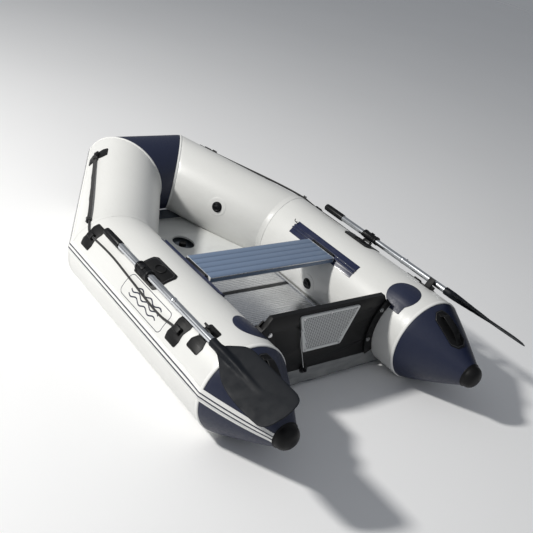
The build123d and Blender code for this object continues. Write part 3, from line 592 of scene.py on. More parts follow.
def laidRope(name, route, radius, lay, strands, step):
    # a twisted rope: a lobed section turned along the line
    path, length = evenly(centreline(name + "Line", route), step)
    rings = []
    normal = (path[1] - path[0]).orthogonal().normalized()
    points = strands * 6
    for i, place in enumerate(path):
        ahead = path[min(i + 1, len(path) - 1)] - path[max(i - 1, 0)]
        ahead.normalize()
        normal = (normal - ahead * normal.dot(ahead)).normalized()
        side = ahead.cross(normal)
        twist = 2 * pi * length * i / len(path) / lay
        ring = []
        for k in range(points):
            a = 2 * pi * k / points
            r = radius * (0.86 + 0.14 * abs(cos(strands * a / 2)) ** 0.7)
            ring.append(place + (normal * cos(a + twist) + side * sin(a + twist)) * r)
        rings.append(ring)
    return ringMesh(name, rings), path, length


def grabRoute():
    r = rope["pathRadius"]
    onSide = ((295, 48.5, 0), (228, 48.5, 0), (145, 47.4, -1), (40, 47.1, -1.5), (-80, 48.9, -1.5),
              (-200, 50.6, -1.5), (-315, 52.6, -1.5), (-420, 52.9, -1), (-490, 49.2, 0), (-525, 49.0, 0))
    route = [bowRun.at(0.640, 49, r), bowRun.at(0.600, 49, r), bowRun.at(0.030, 38.5, r + 0.008)]
    return route + [sideRun.at(sideS(x / 1000), angle, r + rise / 1000) for x, angle, rise in onSide]


def ropeTail(name, path, radius, lay):
    # the spare end, brought back beside the rope and tied off at both holders
    length, tail = 0.0, []
    for a, b in zip(path, path[1:]):
        length += (b - a).length
        if 0.030 < length < 0.668:
            along = (b - a).normalized()
            away = bowRun.out * 0.6 + bowRun.up * 0.8
            beside = along.cross(away).normalized()
            sway = 0.0011 * sin(length * 31) + 0.0008 * sin(length * 83)
            tail.append(a + beside * (radius * 1.72 + sway) + away * (0.0006 * sin(length * 57)))
    mesh, _, _ = laidRope(name, tail[::9] + [tail[-1]], radius, lay, 3, 0.0035)
    parts = [mesh]
    for share, turns, wide in ((0.012, 3, 0.0112), (0.985, 2, 0.0105)):
        i = min(int(len(tail) * share) + 2, len(tail) - 3)
        along = (tail[i + 1] - tail[i - 1]).normalized()
        centre = tail[i] - along.cross(bowRun.out * 0.6 + bowRun.up * 0.8).normalized() * radius * 0.86
        side = along.cross(Vector((0, 0, 1))).normalized()
        up = side.cross(along)
        coil = []
        for k in range(turns * 10 + 1):
            a = 2 * pi * k / 10
            r = wide * (1 + 0.08 * sin(k * 1.7))
            coil.append(centre + (side * cos(a) + up * sin(a)) * r
                        + along * (k / 10 - turns / 2) * radius * 1.9)
        knot, _, _ = laidRope(name + "Knot", coil, radius * 0.92, lay, 3, 0.0035)
        parts.append(knot)
    return joinMeshes(name, parts)


def makeRopes():
    for sideName, sign in (("port", 1), ("starboard", -1)):
        route = [Vector((p.x, p.y * sign, p.z)) for p in grabRoute()]
        mesh, path, _ = laidRope(sideName + "GrabRope", route, rope["radius"], rope["lay"],
                                 rope["strands"], 0.0035)
        piece = newPiece(sideName + "GrabRope", mesh, "hull", "black_rope", ropeBlack)
        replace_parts(piece, sideName + "_grab_rope")
        portPath = [Vector((p.x, p.y * sign, p.z)) for p in path]
        tailMesh = ropeTail(sideName + "RopeTail", portPath, rope["radius"], rope["lay"])
        if sign == -1:
            tailMesh = mirrored(tailMesh, sideName + "RopeTail")
        tail = newPiece(sideName + "RopeTail", tailMesh, "hull", "black_rope", ropeBlack)
    route = [Vector(p) / 1000 for p in ((-662.5, 152, 314), (-663.5, 147, 276), (-662.5, 134, 234),
                                        (-661.5, 114, 192), (-660.5, 97, 149), (-659.5, 80, 108))]
    mesh, path, _ = laidRope("drainLanyard", route, lanyard["radius"], lanyard["lay"], 3, 0.0018)
    piece = newPiece("drainLanyard", mesh, "hull", "white_line", lineWhite)
    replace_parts(piece, "drain_lanyard")
    # overhand knot where the lanyard is tied off
    centre = route[0] + Vector((0, 0, 0.001))
    coil = [centre + Vector((-0.0032 * sin(a * 1.5), 0.0048 * cos(a), 0.0050 * sin(a) + 0.0004 * a))
            for a in (2 * pi * k / 9 for k in range(20))]
    knotMesh, _, _ = laidRope("lanyardKnot", coil, lanyard["radius"] * 1.05, lanyard["lay"], 3, 0.0015)
    knot = newPiece("lanyardKnot", knotMesh, "hull", "white_line", lineWhite)


makeRopes()
print("ropes laid")


# buoyancy tubes, cones and their trims
fabric = {"stations": 72, "round": 120, "foldDepth": 0.0018, "pucker": 0.0010, "puckers": 19}


def skinRadius(fromSeam, angle, inside, seed=0.0):
    # an inflated tube draws in at a glued seam, and puckers there on the inside of a bend
    tight = 0.5 + 0.5 * cos(radians(angle - inside))
    fold = fabric["foldDepth"] * exp(-(fromSeam / 0.012) ** 2)
    waves = 0.5 + 0.5 * sin(radians(angle) * fabric["puckers"] + seed) * sin(radians(angle) * 7 + 2 * seed)
    pucker = fabric["pucker"] * (0.25 + 1.4 * tight) * waves * exp(-(fromSeam / 0.05) ** 2)
    return tubeRadius - fold - pucker


def tubeMesh(name, run, insideStart, insideEnd, seed):
    rings = []
    for i in range(fabric["stations"] + 1):
        t = i / fabric["stations"]
        t = t - 0.12 * sin(2 * pi * t)
        ring = []
        for k in range(fabric["round"]):
            angle = 360 * k / fabric["round"]
            low, high = run.startAt(angle, tubeRadius), run.endAt(angle, tubeRadius)
            s = low + (high - low) * t
            r = min(skinRadius(s - low, angle, insideStart, seed), skinRadius(high - s, angle, insideEnd,
                seed + 1))
            ring.append(run.at(s, angle, r))
        rings.append(ring)
    return ringMesh(name, rings)


def seamBand(name, runA, runB, half, rise, round=120):
    # glued tape over the joint between two runs; runB's angles match runA's
    profile = ((-1, -0.004), (-1, 0.3), (-0.85, 1), (0, 1.15), (0.85, 1), (1, 0.3), (1, -0.004))
    rings = []
    for k in range(round):
        angle = 360 * k / round
        ring = []
        for share, lift in profile:
            r = tubeRadius + (rise * lift if lift > 0 else -0.003)
            if share <= 0:
                ring.append(runA.at(runA.endAt(angle, r) + share * half, angle, r))
            else:
                ring.append(runB.at(runB.startAt(angle, r) + share * half, angle, r))
        rings.append(ring)
    return ringMesh(name, rings, closed=True)


def makeTubes():
    sideMesh = tubeMesh("portSideTube", sideRun, 180, -90, 0.4)
    bowMesh = tubeMesh("portBowTube", bowRun, -90, -90, 1.3)
    for sideName, shape in (("port", lambda m, n: m), ("starboard", mirrored)):
        for mesh, part in ((sideMesh, "side_tube"), (bowMesh, "bow_tube")):
            name = sideName + ("SideTube" if part == "side_tube" else "BowTube")
            piece = newPiece(name, shape(mesh, name), "hull", "tube_fabric", white)
            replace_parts(piece, f"{sideName}_{part}")
    noseMesh = tubeMesh("noseTube", noseRun, -90, -90, 2.2)
    piece = newPiece("noseTube", noseMesh, "hull", "navy_fabric", navy)
    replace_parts(piece, "nose_tube")
    shoulderTape = seamBand("shoulderTape", sideRun, bowRun, 0.016, 0.0007)
    newPiece("shoulderTapes", bothSides(shoulderTape, "shoulderTapes"), "hull", "tube_fabric", white)
    # raised tape over the nose seams, in the lighter strake white, which is painted highlight along the navy seam
    # edge
    noseTapeWithHighlight = seamBand("noseTapeWithHighlight", bowRun, noseRun, 0.006, 0.0010)
    newPiece("noseTapesWithHighlight", bothSides(noseTapeWithHighlight, "noseTapesWithHighlight"), "hull", "strake_band", band)


def makeCones():
    stations = 48
    rings = []
    for i in range(stations + 1):
        t = i / stations
        x = hull["coneBaseX"] + (hull["coneEndX"] - hull["coneBaseX"]) * t
        ring = []
        for k in range(fabric["round"]):
            angle = 360 * k / fabric["round"]
            drop = tubeRadius - skinRadius(hull["coneBaseX"] - x, angle, 0, 0.7)
            ring.append(onCone(x, angle, -drop))
        rings.append(ring)
    piece = newPiece("sternCones", bothSides(ringMesh("sternCone", rings), "sternCones"), "hull",
                     "navy_fabric", navy)
    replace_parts(piece, "stern_cones")
    # raised white bead where each cone meets its tube, in a lighter white that is painted highlight along the seam
    # edge
    edge = ((0.008, -0.003), (0.008, 0.0006), (0.006, 0.0012), (-0.004, 0.0012), (-0.006, 0.0005), (-0.006,
        -0.003))
    rings = []
    for k in range(fabric["round"]):
        angle = 360 * k / fabric["round"]
        rings.append([onCone(hull["coneBaseX"] + x, angle, rise) for x, rise in edge])
    newPiece("coneSeamHighlights", bothSides(ringMesh("coneSeamHighlightBead", rings, closed=True), "coneSeamHighlights"), "hull",
             "strake_band", band)
    # moulded cap: rolled lip, conical skirt, blunt rounded end
    front, back, tip = hull["capFrontX"], hull["coneEndX"], hull["tipX"]
    origin = Vector((0, hull["tubeY"], hull["tubeZ"]))
    profile = [(front, coneRadius(front) - 0.003), (front + 0.0003, coneRadius(front) + 0.0012),
               (front - 0.0004, coneRadius(front) + 0.0024), (front - 0.0018, coneRadius(front) + 0.0030),
               (front - 0.0040, coneRadius(front - 0.0040) + 0.0030)]
    r0 = hull["coneEndRadius"] + 0.0032
    steps = 20
    for i in range(steps + 1):
        u = sin(pi / 2 * i / steps)
        profile.append((back + (tip - back) * u, r0 * (1 - 0.10 * u) * (1 - u ** 2.9) ** (1 / 2.2)))
    cap = lathe("coneCap", origin, (1, 0, 0), profile, 64)
    piece = newPiece("coneCaps", bothSides(cap, "coneCaps"), "hull", "black_rubber", rubber)
    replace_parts(piece, "cone_caps")


# Band with two raised navy pinstripes. Shares run from the upper edge, -1, to the lower, 1.
strake = {"middle": 80.0, "half": 8.4, "rise": 0.0030, "rib": 0.0006,
          "coneTop": (74.0, 66.0), "coneLow": (87.5, 108.0)}


def strakeProfile():
    h, rib = strake["rise"], strake["rib"]
    marks = [(-1, -0.001), (-1, 0.5 * h), (-0.965, 0.9 * h), (-0.92, h)]
    for centre in (-0.31, 0.31):
        marks += [(centre - 0.105, h), (centre - 0.095, h + rib), (centre + 0.095, h + rib),
                  (centre + 0.105, h)]
    return marks + [(0.92, h), (0.965, 0.9 * h), (1, 0.5 * h), (1, -0.001)]


def makeStrakes():
    profile = strakeProfile()
    striped = (4, 5, 6, 8, 9, 10)
    rings = []
    steps = 24
    for i in range(steps + 1):
        t = i / steps
        x = hull["capFrontX"] - 0.001 + (hull["coneBaseX"] - hull["capFrontX"] + 0.001) * t
        top = strake["coneTop"][1] + (strake["coneTop"][0] - strake["coneTop"][1]) * sqrt(t)
        low = strake["coneLow"][1] + (strake["coneLow"][0] - strake["coneLow"][1]) * sqrt(t)
        blend = min(1, t / 0.9) ** 3
        top += (strake["middle"] - strake["half"] - top) * blend * 0.35
        rings.append([onCone(x, (top + low) / 2 + share * (low - top) / 2, rise) for share, rise in profile])
    middle, half = strake["middle"], strake["half"]
    for run, parts in ((sideRun, 60), (bowRun, 44)):
        for i in range(1, parts + 1):
            t = i / parts
            ring = []
            for share, rise in profile:
                turn = 1.0
                if run is sideRun and t < 0.1:
                    turn = t / 0.1
                angle = middle + share * half
                coneAngle = (top + low) / 2 + share * (low - top) / 2
                angle = coneAngle + (angle - coneAngle) * (3 * turn ** 2 - 2 * turn ** 3)
                ring.append(run.between(t, angle, tubeRadius + rise))
            rings.append(ring)
    mesh = ringMesh("rubStrake", rings, faceMaterial=lambda i, k: 1 if k in striped else 0)
    piece = newPiece("rubStrakes", bothSides(mesh, "rubStrakes"), "hull", "strake_band", band, stripe)
    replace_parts(piece, "rub_strakes")


makeTubes()
makeCones()
makeStrakes()
print("tubes, cones and strakes made")


# bottom, skirt and floor
def planHalf(x):
    # half the width between the tubes where the bottom skin meets them
    inset = sqrt(tubeRadius ** 2 - (hull["tubeZ"] - 0.018) ** 2) - 0.006
    if x <= hull["shoulderX"]:
        return hull["tubeY"] - inset
    slope = (hull["tubeY"] - hull["noseY"]) / (hull["noseX"] - hull["shoulderX"])
    return hull["tubeY"] - slope * (x - hull["shoulderX"]) - inset * hypot(1, slope)


def bottomZ(x, share):
    rise = (hull["noseZ"] - hull["tubeZ"]) / (hull["noseX"] - hull["shoulderX"])
    z = 0.0188 + max(0.0, x - hull["shoulderX"]) * rise
    fade = 1 - min(max((x - 0.35) / 0.3, 0), 1)
    keel = 0.0075 * exp(-(share * 0.44 / 0.05) ** 2) * fade
    return z - keel - 0.0025 * (1 - share ** 2)


def makeBottom():
    rings = []
    across = 40
    stations = 80
    for i in range(stations + 1):
        x = hull["boardAftX"] + (0.888 - hull["boardAftX"]) * i / stations
        half = planHalf(x)
        lower = [Vector((x, half * (2 * k / across - 1), bottomZ(x, 2 * k / across - 1)))
                 for k in range(across + 1)]
        upper = [p + Vector((0, 0, 0.001)) for p in reversed(lower)]
        rings.append(lower + upper)
    mesh = ringMesh("bottomSkin", rings)
    piece = newPiece("bottomSkin", mesh, "hull", "grey_fabric", greyCloth)
    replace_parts(piece, "hull_bottom_skin")


def makeSkirt():
    # clear-grey flap closing the gap under the board; it hangs with a few shallow waves
    skirt = {"half": 0.4300, "top": 0.096, "low": 0.020, "thick": 0.0012}
    material, tree, shader = shaderOf("skirtFilm", (0.30, 0.31, 0.31), 0.22, Alpha=0.72, Coat_Weight=0.4,
                                      Coat_Roughness=0.1)
    coords = coordsOf(tree)
    creaseHeightAndShade = noiseOf(tree, coordsOf(tree, "Object", (9, 9, 30)), 1.0, 4)
    # colour darker in the crease hollows and lighter on the crests, following the crease bump: painted shade and
    # painted highlight
    tree.links.new(blendColors(tree, rangeOf(tree, creaseHeightAndShade, 0, 1), (0.22, 0.23, 0.235), (0.34, 0.345, 0.34)),
                   shader.inputs["Base Color"])
    bumps(tree, shader, [(creaseHeightAndShade, 0.004, 0.35), (noiseOf(tree, coords, 120, 2), 0.0003, 0.2)])
    across, down = 90, 10
    rings = []
    for i in range(across + 1):
        share = 2 * i / across - 1
        low = []
        for k in range(down + 1):
            t = k / down
            z = skirt["top"] + (skirt["low"] + 0.012 * share ** 2 - skirt["top"]) * t
            drop = sqrt(max(tubeRadius ** 2 - (z - hull["tubeZ"]) ** 2, 0))
            y = share * min(skirt["half"], hull["tubeY"] - drop + 0.003)
            wave = 0.0016 * sin(share * 17 + 0.6) + 0.0009 * sin(share * 41)
            low.append(Vector((hull["boardAftX"] - 0.0014 - t * 0.004 + wave * t, y, z)))
        rings.append(low + [p - Vector((skirt["thick"], 0, 0)) for p in reversed(low)])
    mesh = ringMesh("transomSkirt", rings)
    piece = newPiece("transomSkirt", mesh, "hull", "grey_fabric", material)
    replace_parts(piece, "transom_skirt")


def paint(node, material):
    mesh = nodes[node].data
    if not mesh.materials:
        mesh.materials.append(material)
    for spot in nodes[node].material_slots:
        spot.material = material


def makeFloor():
    for part in ("aft", "mid", "fore"):
        paint(f"floor_panel_{part}", plankMetal)
    paint("air_keel", greyCloth)
    softened("floor_joiners", 0.0006, plastic)
    softened("floor_stringers", 0.0008, plankMetal)
    softened("bow_floor_board", 0.0012, trim)
    softened("keel_valve", 0.0008, plastic)
    softened("keel_valve_cap", 0.0012, plastic)


makeBottom()
makeSkirt()
makeFloor()
print("bottom and floor made")


# Geometry Nodes: pips on the pad, ribs on the grips, bolt heads
def nodeGroup(name, floats):
    # tree with a geometry input, named float inputs and a material input
    tree = bpy.data.node_groups.new(name, "GeometryNodeTree")
    face = tree.interface
    face.new_socket("Geometry", in_out="INPUT", socket_type="NodeSocketGeometry")
    for label, value in floats.items():
        kind = "NodeSocketInt" if isinstance(value, int) else "NodeSocketFloat"
        socket = face.new_socket(label, in_out="INPUT", socket_type=kind)
        socket.default_value = value
    face.new_socket("Finish", in_out="INPUT", socket_type="NodeSocketMaterial")
    face.new_socket("Geometry", in_out="OUTPUT", socket_type="NodeSocketGeometry")
    entry = tree.nodes.new("NodeGroupInput")
    exit = tree.nodes.new("NodeGroupOutput")
    return tree, entry, exit


def plug(tree, source, node, socket):
    target = node.inputs[socket]
    if isinstance(source, bpy.types.NodeSocket):
        tree.links.new(source, target)
    else:
        target.default_value = source


def geoNode(tree, kind, settings=None, **inputs):
    node = tree.nodes.new(kind)
    for key, value in (settings or {}).items():
        setattr(node, key, value)
    for key, value in inputs.items():
        plug(tree, value, node, key.replace("_", " "))
    return node


def mathNode(tree, operation, a, b=0.0):
    node = tree.nodes.new("ShaderNodeMath")
    node.operation = operation
    plug(tree, a, node, 0)
    plug(tree, b, node, 1)
    return node.outputs[0]


def finishTree(tree, exit, geometry, finish):
    real = geoNode(tree, "GeometryNodeRealizeInstances", Geometry=geometry)
    painted = geoNode(tree, "GeometryNodeSetMaterial", Geometry=real.outputs[0], Material=finish)
    tree.links.new(painted.outputs[0], exit.inputs[0])


def grown(name, tree, values, finish, base=None):
    # runs the tree on a base mesh with these input values and gives back a plain mesh
    mesh = base or bpy.data.meshes.new(name)
    piece = bpy.data.objects.new(name, mesh)
    bpy.context.scene.collection.objects.link(piece)
    modifier = piece.modifiers.new("grow", "NODES")
    modifier.node_group = tree
    for item in tree.interface.items_tree:
        if item.item_type != "SOCKET" or item.in_out != "INPUT":
            continue
        if item.name in values:
            modifier[item.identifier] = values[item.name]
        elif item.name == "Finish":
            modifier[item.identifier] = finish
    piece.update_tag()
    done = bpy.data.meshes.new_from_object(piece.evaluated_get(bpy.context.evaluated_depsgraph_get()))
    bpy.data.objects.remove(piece)
    done.name = name
    return done


def pipTree():
    # rows of six-sided pips, every other row shifted, inside a trapezoid
    floats = {"Height": 0.16, "Low Half": 0.09, "Top Half": 0.15, "Pitch": 0.0096, "Pip Radius": 0.0031,
              "Pip Rise": 0.0010}
    tree, entry, exit = nodeGroup("padPips", floats)
    inp = entry.outputs
    rowPitch = mathNode(tree, "MULTIPLY", inp["Pitch"], 0.866)
    width = mathNode(tree, "MULTIPLY", inp["Top Half"], 2.0)
    columns = mathNode(tree, "ADD", mathNode(tree, "FLOOR", mathNode(tree, "DIVIDE", width, inp["Pitch"])),
                       1.0)
    rows = mathNode(tree, "ADD", mathNode(tree, "FLOOR", mathNode(tree, "DIVIDE", inp["Height"],
                                                                  rowPitch)), 1.0)
    sizeX = mathNode(tree, "MULTIPLY", mathNode(tree, "SUBTRACT", columns, 1.0), inp["Pitch"])
    sizeY = mathNode(tree, "MULTIPLY", mathNode(tree, "SUBTRACT", rows, 1.0), rowPitch)
    grid = tree.nodes.new("GeometryNodeMeshGrid")
    for socket, value in (("Size X", sizeX), ("Size Y", sizeY), ("Vertices X", columns), ("Vertices Y",
        rows)):
        plug(tree, value, grid, socket)
    position = tree.nodes.new("GeometryNodeInputPosition")
    parts = geoNode(tree, "ShaderNodeSeparateXYZ", Vector=position.outputs[0])
    fromLow = mathNode(tree, "ADD", parts.outputs["Y"], mathNode(tree, "MULTIPLY", sizeY, 0.5))
    row = mathNode(tree, "ROUND", mathNode(tree, "DIVIDE", fromLow, rowPitch))
    odd = mathNode(tree, "MODULO", row, 2.0)
    shift = mathNode(tree, "MULTIPLY", mathNode(tree, "MULTIPLY", odd, inp["Pitch"]), 0.5)
    offset = geoNode(tree, "ShaderNodeCombineXYZ", X=shift)
    moved = geoNode(tree, "GeometryNodeSetPosition", Geometry=grid.outputs[0], Offset=offset.outputs[0])
    share = mathNode(tree, "DIVIDE", fromLow, sizeY)
    spread = mathNode(tree, "SUBTRACT", inp["Top Half"], inp["Low Half"])
    limit = mathNode(tree, "ADD", inp["Low Half"], mathNode(tree, "MULTIPLY", spread, share))
    outside = mathNode(tree, "GREATER_THAN", mathNode(tree, "ABSOLUTE", parts.outputs["X"]), limit)
    kept = geoNode(tree, "GeometryNodeDeleteGeometry", Geometry=moved.outputs[0], Selection=outside)
    pip = tree.nodes.new("GeometryNodeMeshCylinder")
    for socket, value in (("Vertices", 6), ("Radius", inp["Pip Radius"]), ("Depth", inp["Pip Rise"])):
        plug(tree, value, pip, socket)
    spots = geoNode(tree, "GeometryNodeInstanceOnPoints", Points=kept.outputs[0], Instance=pip.outputs[0])
    finishTree(tree, exit, spots.outputs[0], inp["Finish"])
    return tree


def ribTree():
    # part rings of a round rib, spaced along a line; the sweep leaves a gap for a flat side
    floats = {"Count": 8, "Spacing": 0.008, "Ring Radius": 0.018, "Rib Radius": 0.0015, "Sweep": 2 * pi}
    tree, entry, exit = nodeGroup("ribRings", floats)
    inp = entry.outputs
    span = geoNode(tree, "ShaderNodeCombineXYZ", Z=inp["Spacing"])
    line = tree.nodes.new("GeometryNodeMeshLine")
    plug(tree, inp["Count"], line, "Count")
    plug(tree, span.outputs[0], line, "Offset")
    arc = tree.nodes.new("GeometryNodeCurveArc")
    for socket, value in (("Resolution", 41), ("Radius", inp["Ring Radius"]), ("Sweep Angle", inp["Sweep"])):
        plug(tree, value, arc, socket)
    section = tree.nodes.new("GeometryNodeCurvePrimitiveCircle")
    plug(tree, 8, section, "Resolution")
    plug(tree, inp["Rib Radius"], section, "Radius")
    tube = geoNode(tree, "GeometryNodeCurveToMesh", Curve=arc.outputs[0], Profile_Curve=section.outputs[0])
    plug(tree, True, tube, "Fill Caps")
    spots = geoNode(tree, "GeometryNodeInstanceOnPoints", Points=line.outputs[0], Instance=tube.outputs[0])
    finishTree(tree, exit, spots.outputs[0], inp["Finish"])
    return tree


def headTree():
    # a domed head on a washer at each point of the base mesh
    floats = {"Head Radius": 0.006, "Head Rise": 0.003, "Washer Radius": 0.009, "Washer Thick": 0.0012}
    tree, entry, exit = nodeGroup("boltHeads", floats)
    inp = entry.outputs
    dome = tree.nodes.new("GeometryNodeMeshUVSphere")
    for socket, value in (("Segments", 20), ("Rings", 10), ("Radius", inp["Head Radius"])):
        plug(tree, value, dome, socket)
    flat = mathNode(tree, "DIVIDE", inp["Head Rise"], inp["Head Radius"])
    squash = geoNode(tree, "ShaderNodeCombineXYZ", X=1.0, Y=1.0, Z=flat)
    lift = geoNode(tree, "ShaderNodeCombineXYZ", Z=inp["Washer Thick"])
    head = geoNode(tree, "GeometryNodeTransform", Geometry=dome.outputs[0], Scale=squash.outputs[0],
                   Translation=lift.outputs[0])
    washer = tree.nodes.new("GeometryNodeMeshCylinder")
    for socket, value in (("Vertices", 24), ("Radius", inp["Washer Radius"]), ("Depth", inp["Washer Thick"])):
        plug(tree, value, washer, socket)
    raised = geoNode(tree, "ShaderNodeCombineXYZ", Z=mathNode(tree, "MULTIPLY", inp["Washer Thick"], 0.5))
    placed = geoNode(tree, "GeometryNodeTransform", Geometry=washer.outputs[0], Translation=raised.outputs[0])
    both = tree.nodes.new("GeometryNodeJoinGeometry")
    tree.links.new(head.outputs[0], both.inputs[0])
    tree.links.new(placed.outputs[0], both.inputs[0])
    spots = geoNode(tree, "GeometryNodeInstanceOnPoints", Points=inp["Geometry"], Instance=both.outputs[0])
    finishTree(tree, exit, spots.outputs[0], inp["Finish"])
    return tree


def pointsMesh(name, points):
    mesh = bpy.data.meshes.new(name)
    mesh.from_pydata([tuple(p) for p in points], [], [])
    return mesh


def turned(origin, along, up):
    # matrix whose z runs along one direction and whose x is as near as can be to the other
    z = Vector(along).normalized()
    x = (Vector(up) - z * Vector(up).dot(z)).normalized()
    y = z.cross(x)
    return Matrix.Translation(origin) @ Matrix((x, y, z)).transposed().to_4x4()


pips, ribs, heads = pipTree(), ribTree(), headTree()


# transom
def makeTransom():
    softened("transom_board", 0.0022, plywood, segments=3)
    softened("transom_holders", 0.0030, rubber, segments=3)
    softened("transom_patches", 0.0008, navy)
    softened("motor_pad_aft", 0.0010, trim)
    softened("motor_pad_fore", 0.0015, trim)
    softened("drain_bush", 0.0012, plastic)
    softened("drain_plug", 0.0012, plastic)
    pad = {"low": 0.195, "top": 0.386, "lowHalf": 0.108, "topHalf": 0.172, "rim": 0.0135, "face": -0.6555}
    values = {"Height": pad["top"] - pad["low"] - 2 * pad["rim"],
              "Low Half": pad["lowHalf"] - pad["rim"] - 0.0035,
              "Top Half": pad["topHalf"] - pad["rim"] - 0.0015}
    mesh = grown("padPips", pips, values, pipGrey)
    middle = Vector((pad["face"], 0, (pad["low"] + pad["top"]) / 2))
    mesh.transform(Matrix.Translation(middle) @ Matrix(((0, 0, -1, 0), (-1, 0, 0, 0), (0, 1, 0, 0), (0, 0,
        0, 1))))
    newPiece("padPips", mesh, "hull", "pale_trim")
    # recess floor, a shade darker than the rim
    outline = [(-pad["topHalf"], pad["top"]), (pad["topHalf"], pad["top"]), (pad["lowHalf"], pad["low"]),
               (-pad["lowHalf"], pad["low"])]
    inner = []
    centre = Vector((0, (pad["low"] + pad["top"]) / 2))
    for y, z in outline:
        away = Vector((y, z)) - centre
        inner.append(centre + Vector((away.x * (1 - 0.0125 / 0.14), away.y * (1 - 0.0118 / 0.0955))))
    inner = dense(rounded(inner, 0.004), 0.02)
    place = lambda u, v, rise: Vector((pad["face"] + 0.0002 - rise, u, v))
    newPiece("padField", patchMesh("padField", place, inner, 0.0004, edge=0.0002), "hull", "pale_trim",
             padGrey)
    boltSpots = []
    for sign in (1, -1):
        for angle in (-59, -98):
            boltSpots.append((sign * (hull["tubeY"] + 0.236 * sin(radians(angle))),
                              hull["tubeZ"] + 0.236 * cos(radians(angle))))
    base = pointsMesh("boltSpots", [(y, z, 0) for y, z in boltSpots])
    mesh = grown("transomBoltHeads", heads, {"Head Radius": 0.0062, "Head Rise": 0.0038,
                                             "Washer Radius": 0.0105},
                 steel, base)
    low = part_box("transom_holders")[0].x
    mesh.transform(Matrix(((0, 0, -1, low), (1, 0, 0, 0), (0, 1, 0, 0), (0, 0, 0, 1))))
    mesh.flip_normals()
    newPiece("transomBoltHeads", mesh, "hull", "stainless_steel")
    paint("transom_bolts", steel)
    paint("pad_screws", steel)


makeTransom()
print("transom made")


# seat
def makeSeat():
    softened("seat_bench", 0.0006, benchPaint)
    # light metal strip along the top of both long sides of the plank, standing for the highlight these edges catch:
    # painted highlight
    low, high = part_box("seat_bench")
    edgeHighlights = []
    for x, away in ((low.x, -1), (high.x, 1)):
        rings = [[(x, y, high.z - 0.0072), (x + away * 0.0012, y, high.z - 0.0066), (x + away * 0.0012, y,
            high.z - 0.0016),
                  (x, y, high.z - 0.0010)] for y in (low.y + 0.001, high.y - 0.001)]
        edgeHighlights.append(ringMesh("benchEdgeHighlightStrip", [[Vector(p) for p in ring] for ring in rings]))
    newPiece("benchEdgeHighlights", joinMeshes("benchEdgeHighlights", edgeHighlights), "seat", "silver_aluminium", shaftMetal)
    softened("seat_end_caps", 0.0005, trim)
    softened("seat_slides", 0.0006, plastic)
    softened("seat_tracks", 0.0008, trackBlue)


makeSeat()
print("seat made")


# oars and rowlocks
oarOut = sideRun.radial(hull["oarAngle"])
oarLine = Vector((0, hull["tubeY"], hull["tubeZ"])) + oarOut * hull["oarRadius"]
oarSide = Vector((0, oarOut.z, -oarOut.y))
blade = {"neckX": -0.7425, "long": 0.4350, "half": 0.003, "socket": 0.019, "ribFrom": 0.030, "ribTo": 0.310,
         "ribTip": 0.004, "camber": 0.004}


def through(points, u):
    # smooth curve through (u, v) points
    for i in range(len(points) - 1):
        if u <= points[i + 1][0] or i == len(points) - 2:
            break
    p0, p1, p2, p3 = (points[max(min(j, len(points) - 1), 0)] for j in (i - 1, i, i + 1, i + 2))
    t = min(max((u - p1[0]) / (p2[0] - p1[0]), 0), 1)
    m1 = (p2[1] - p0[1]) / max(p2[0] - p0[0], 1e-6) * (p2[0] - p1[0])
    m2 = (p3[1] - p1[1]) / max(p3[0] - p1[0], 1e-6) * (p2[0] - p1[0])
    return ((2 * t ** 3 - 3 * t ** 2 + 1) * p1[1] + (t ** 3 - 2 * t ** 2 + t) * m1
            + (3 * t ** 2 - 2 * t ** 3) * p2[1] + (t ** 3 - t ** 2) * m2)


def bladeMesh(name):
    outer = [(-0.024, 0.019), (0.028, 0.0192), (0.06, 0.032), (0.15, 0.077), (0.25, 0.093), (0.388, 0.088),
             (0.412, 0.074), (0.426, 0.050), (0.435, 0.004)]
    inner = [(-0.024, -0.019), (0.022, -0.0195), (0.040, -0.036), (0.10, -0.080), (0.18, -0.087), (0.36,
        -0.086),
             (0.402, -0.083), (0.426, -0.066), (0.4345, -0.030), (0.435, 0.004)]
    origin = Vector((blade["neckX"], oarLine.y, oarLine.z))
    rings = []
    steps, points = 110, 56
    for i in range(steps + 1):
        u = -0.024 + (blade["long"] + 0.024) * sin(pi / 2 * (i / steps) ** 0.8) ** 1.0
        top, low = through(outer, u), through(inner, u)
        half, middle = max((top - low) / 2, 0.0002), (top + low) / 2
        fade = min(max((u - blade["ribFrom"]) / (blade["ribTo"] - blade["ribFrom"]), 0), 1)
        rib = blade["socket"] + (blade["ribTip"] - blade["socket"]) * fade
        rib *= 1 - min(max((u - blade["ribTo"]) / 0.05, 0), 1)
        bend = blade["camber"] * max(0, u / blade["long"]) ** 2
        ring = []
        for k in range(points):
            phi = 2 * pi * k / points
            v = middle + half * cos(phi)
            plate = blade["half"] * abs(sin(phi)) ** 0.5
            plate *= min(1, half / 0.02)
            dome = sqrt(max(rib ** 2 - v ** 2, 0))
            height = (plate ** 4 + dome ** 4) ** 0.25
            sign = 1 if sin(phi) >= 0 else -1
            if abs(sin(phi)) < 1e-6:
                height = 0
            ring.append(origin + Vector((-u, 0, 0)) + oarSide * v + oarOut * (height * sign + bend))
        rings.append(ring)
    return ringMesh(name, rings)


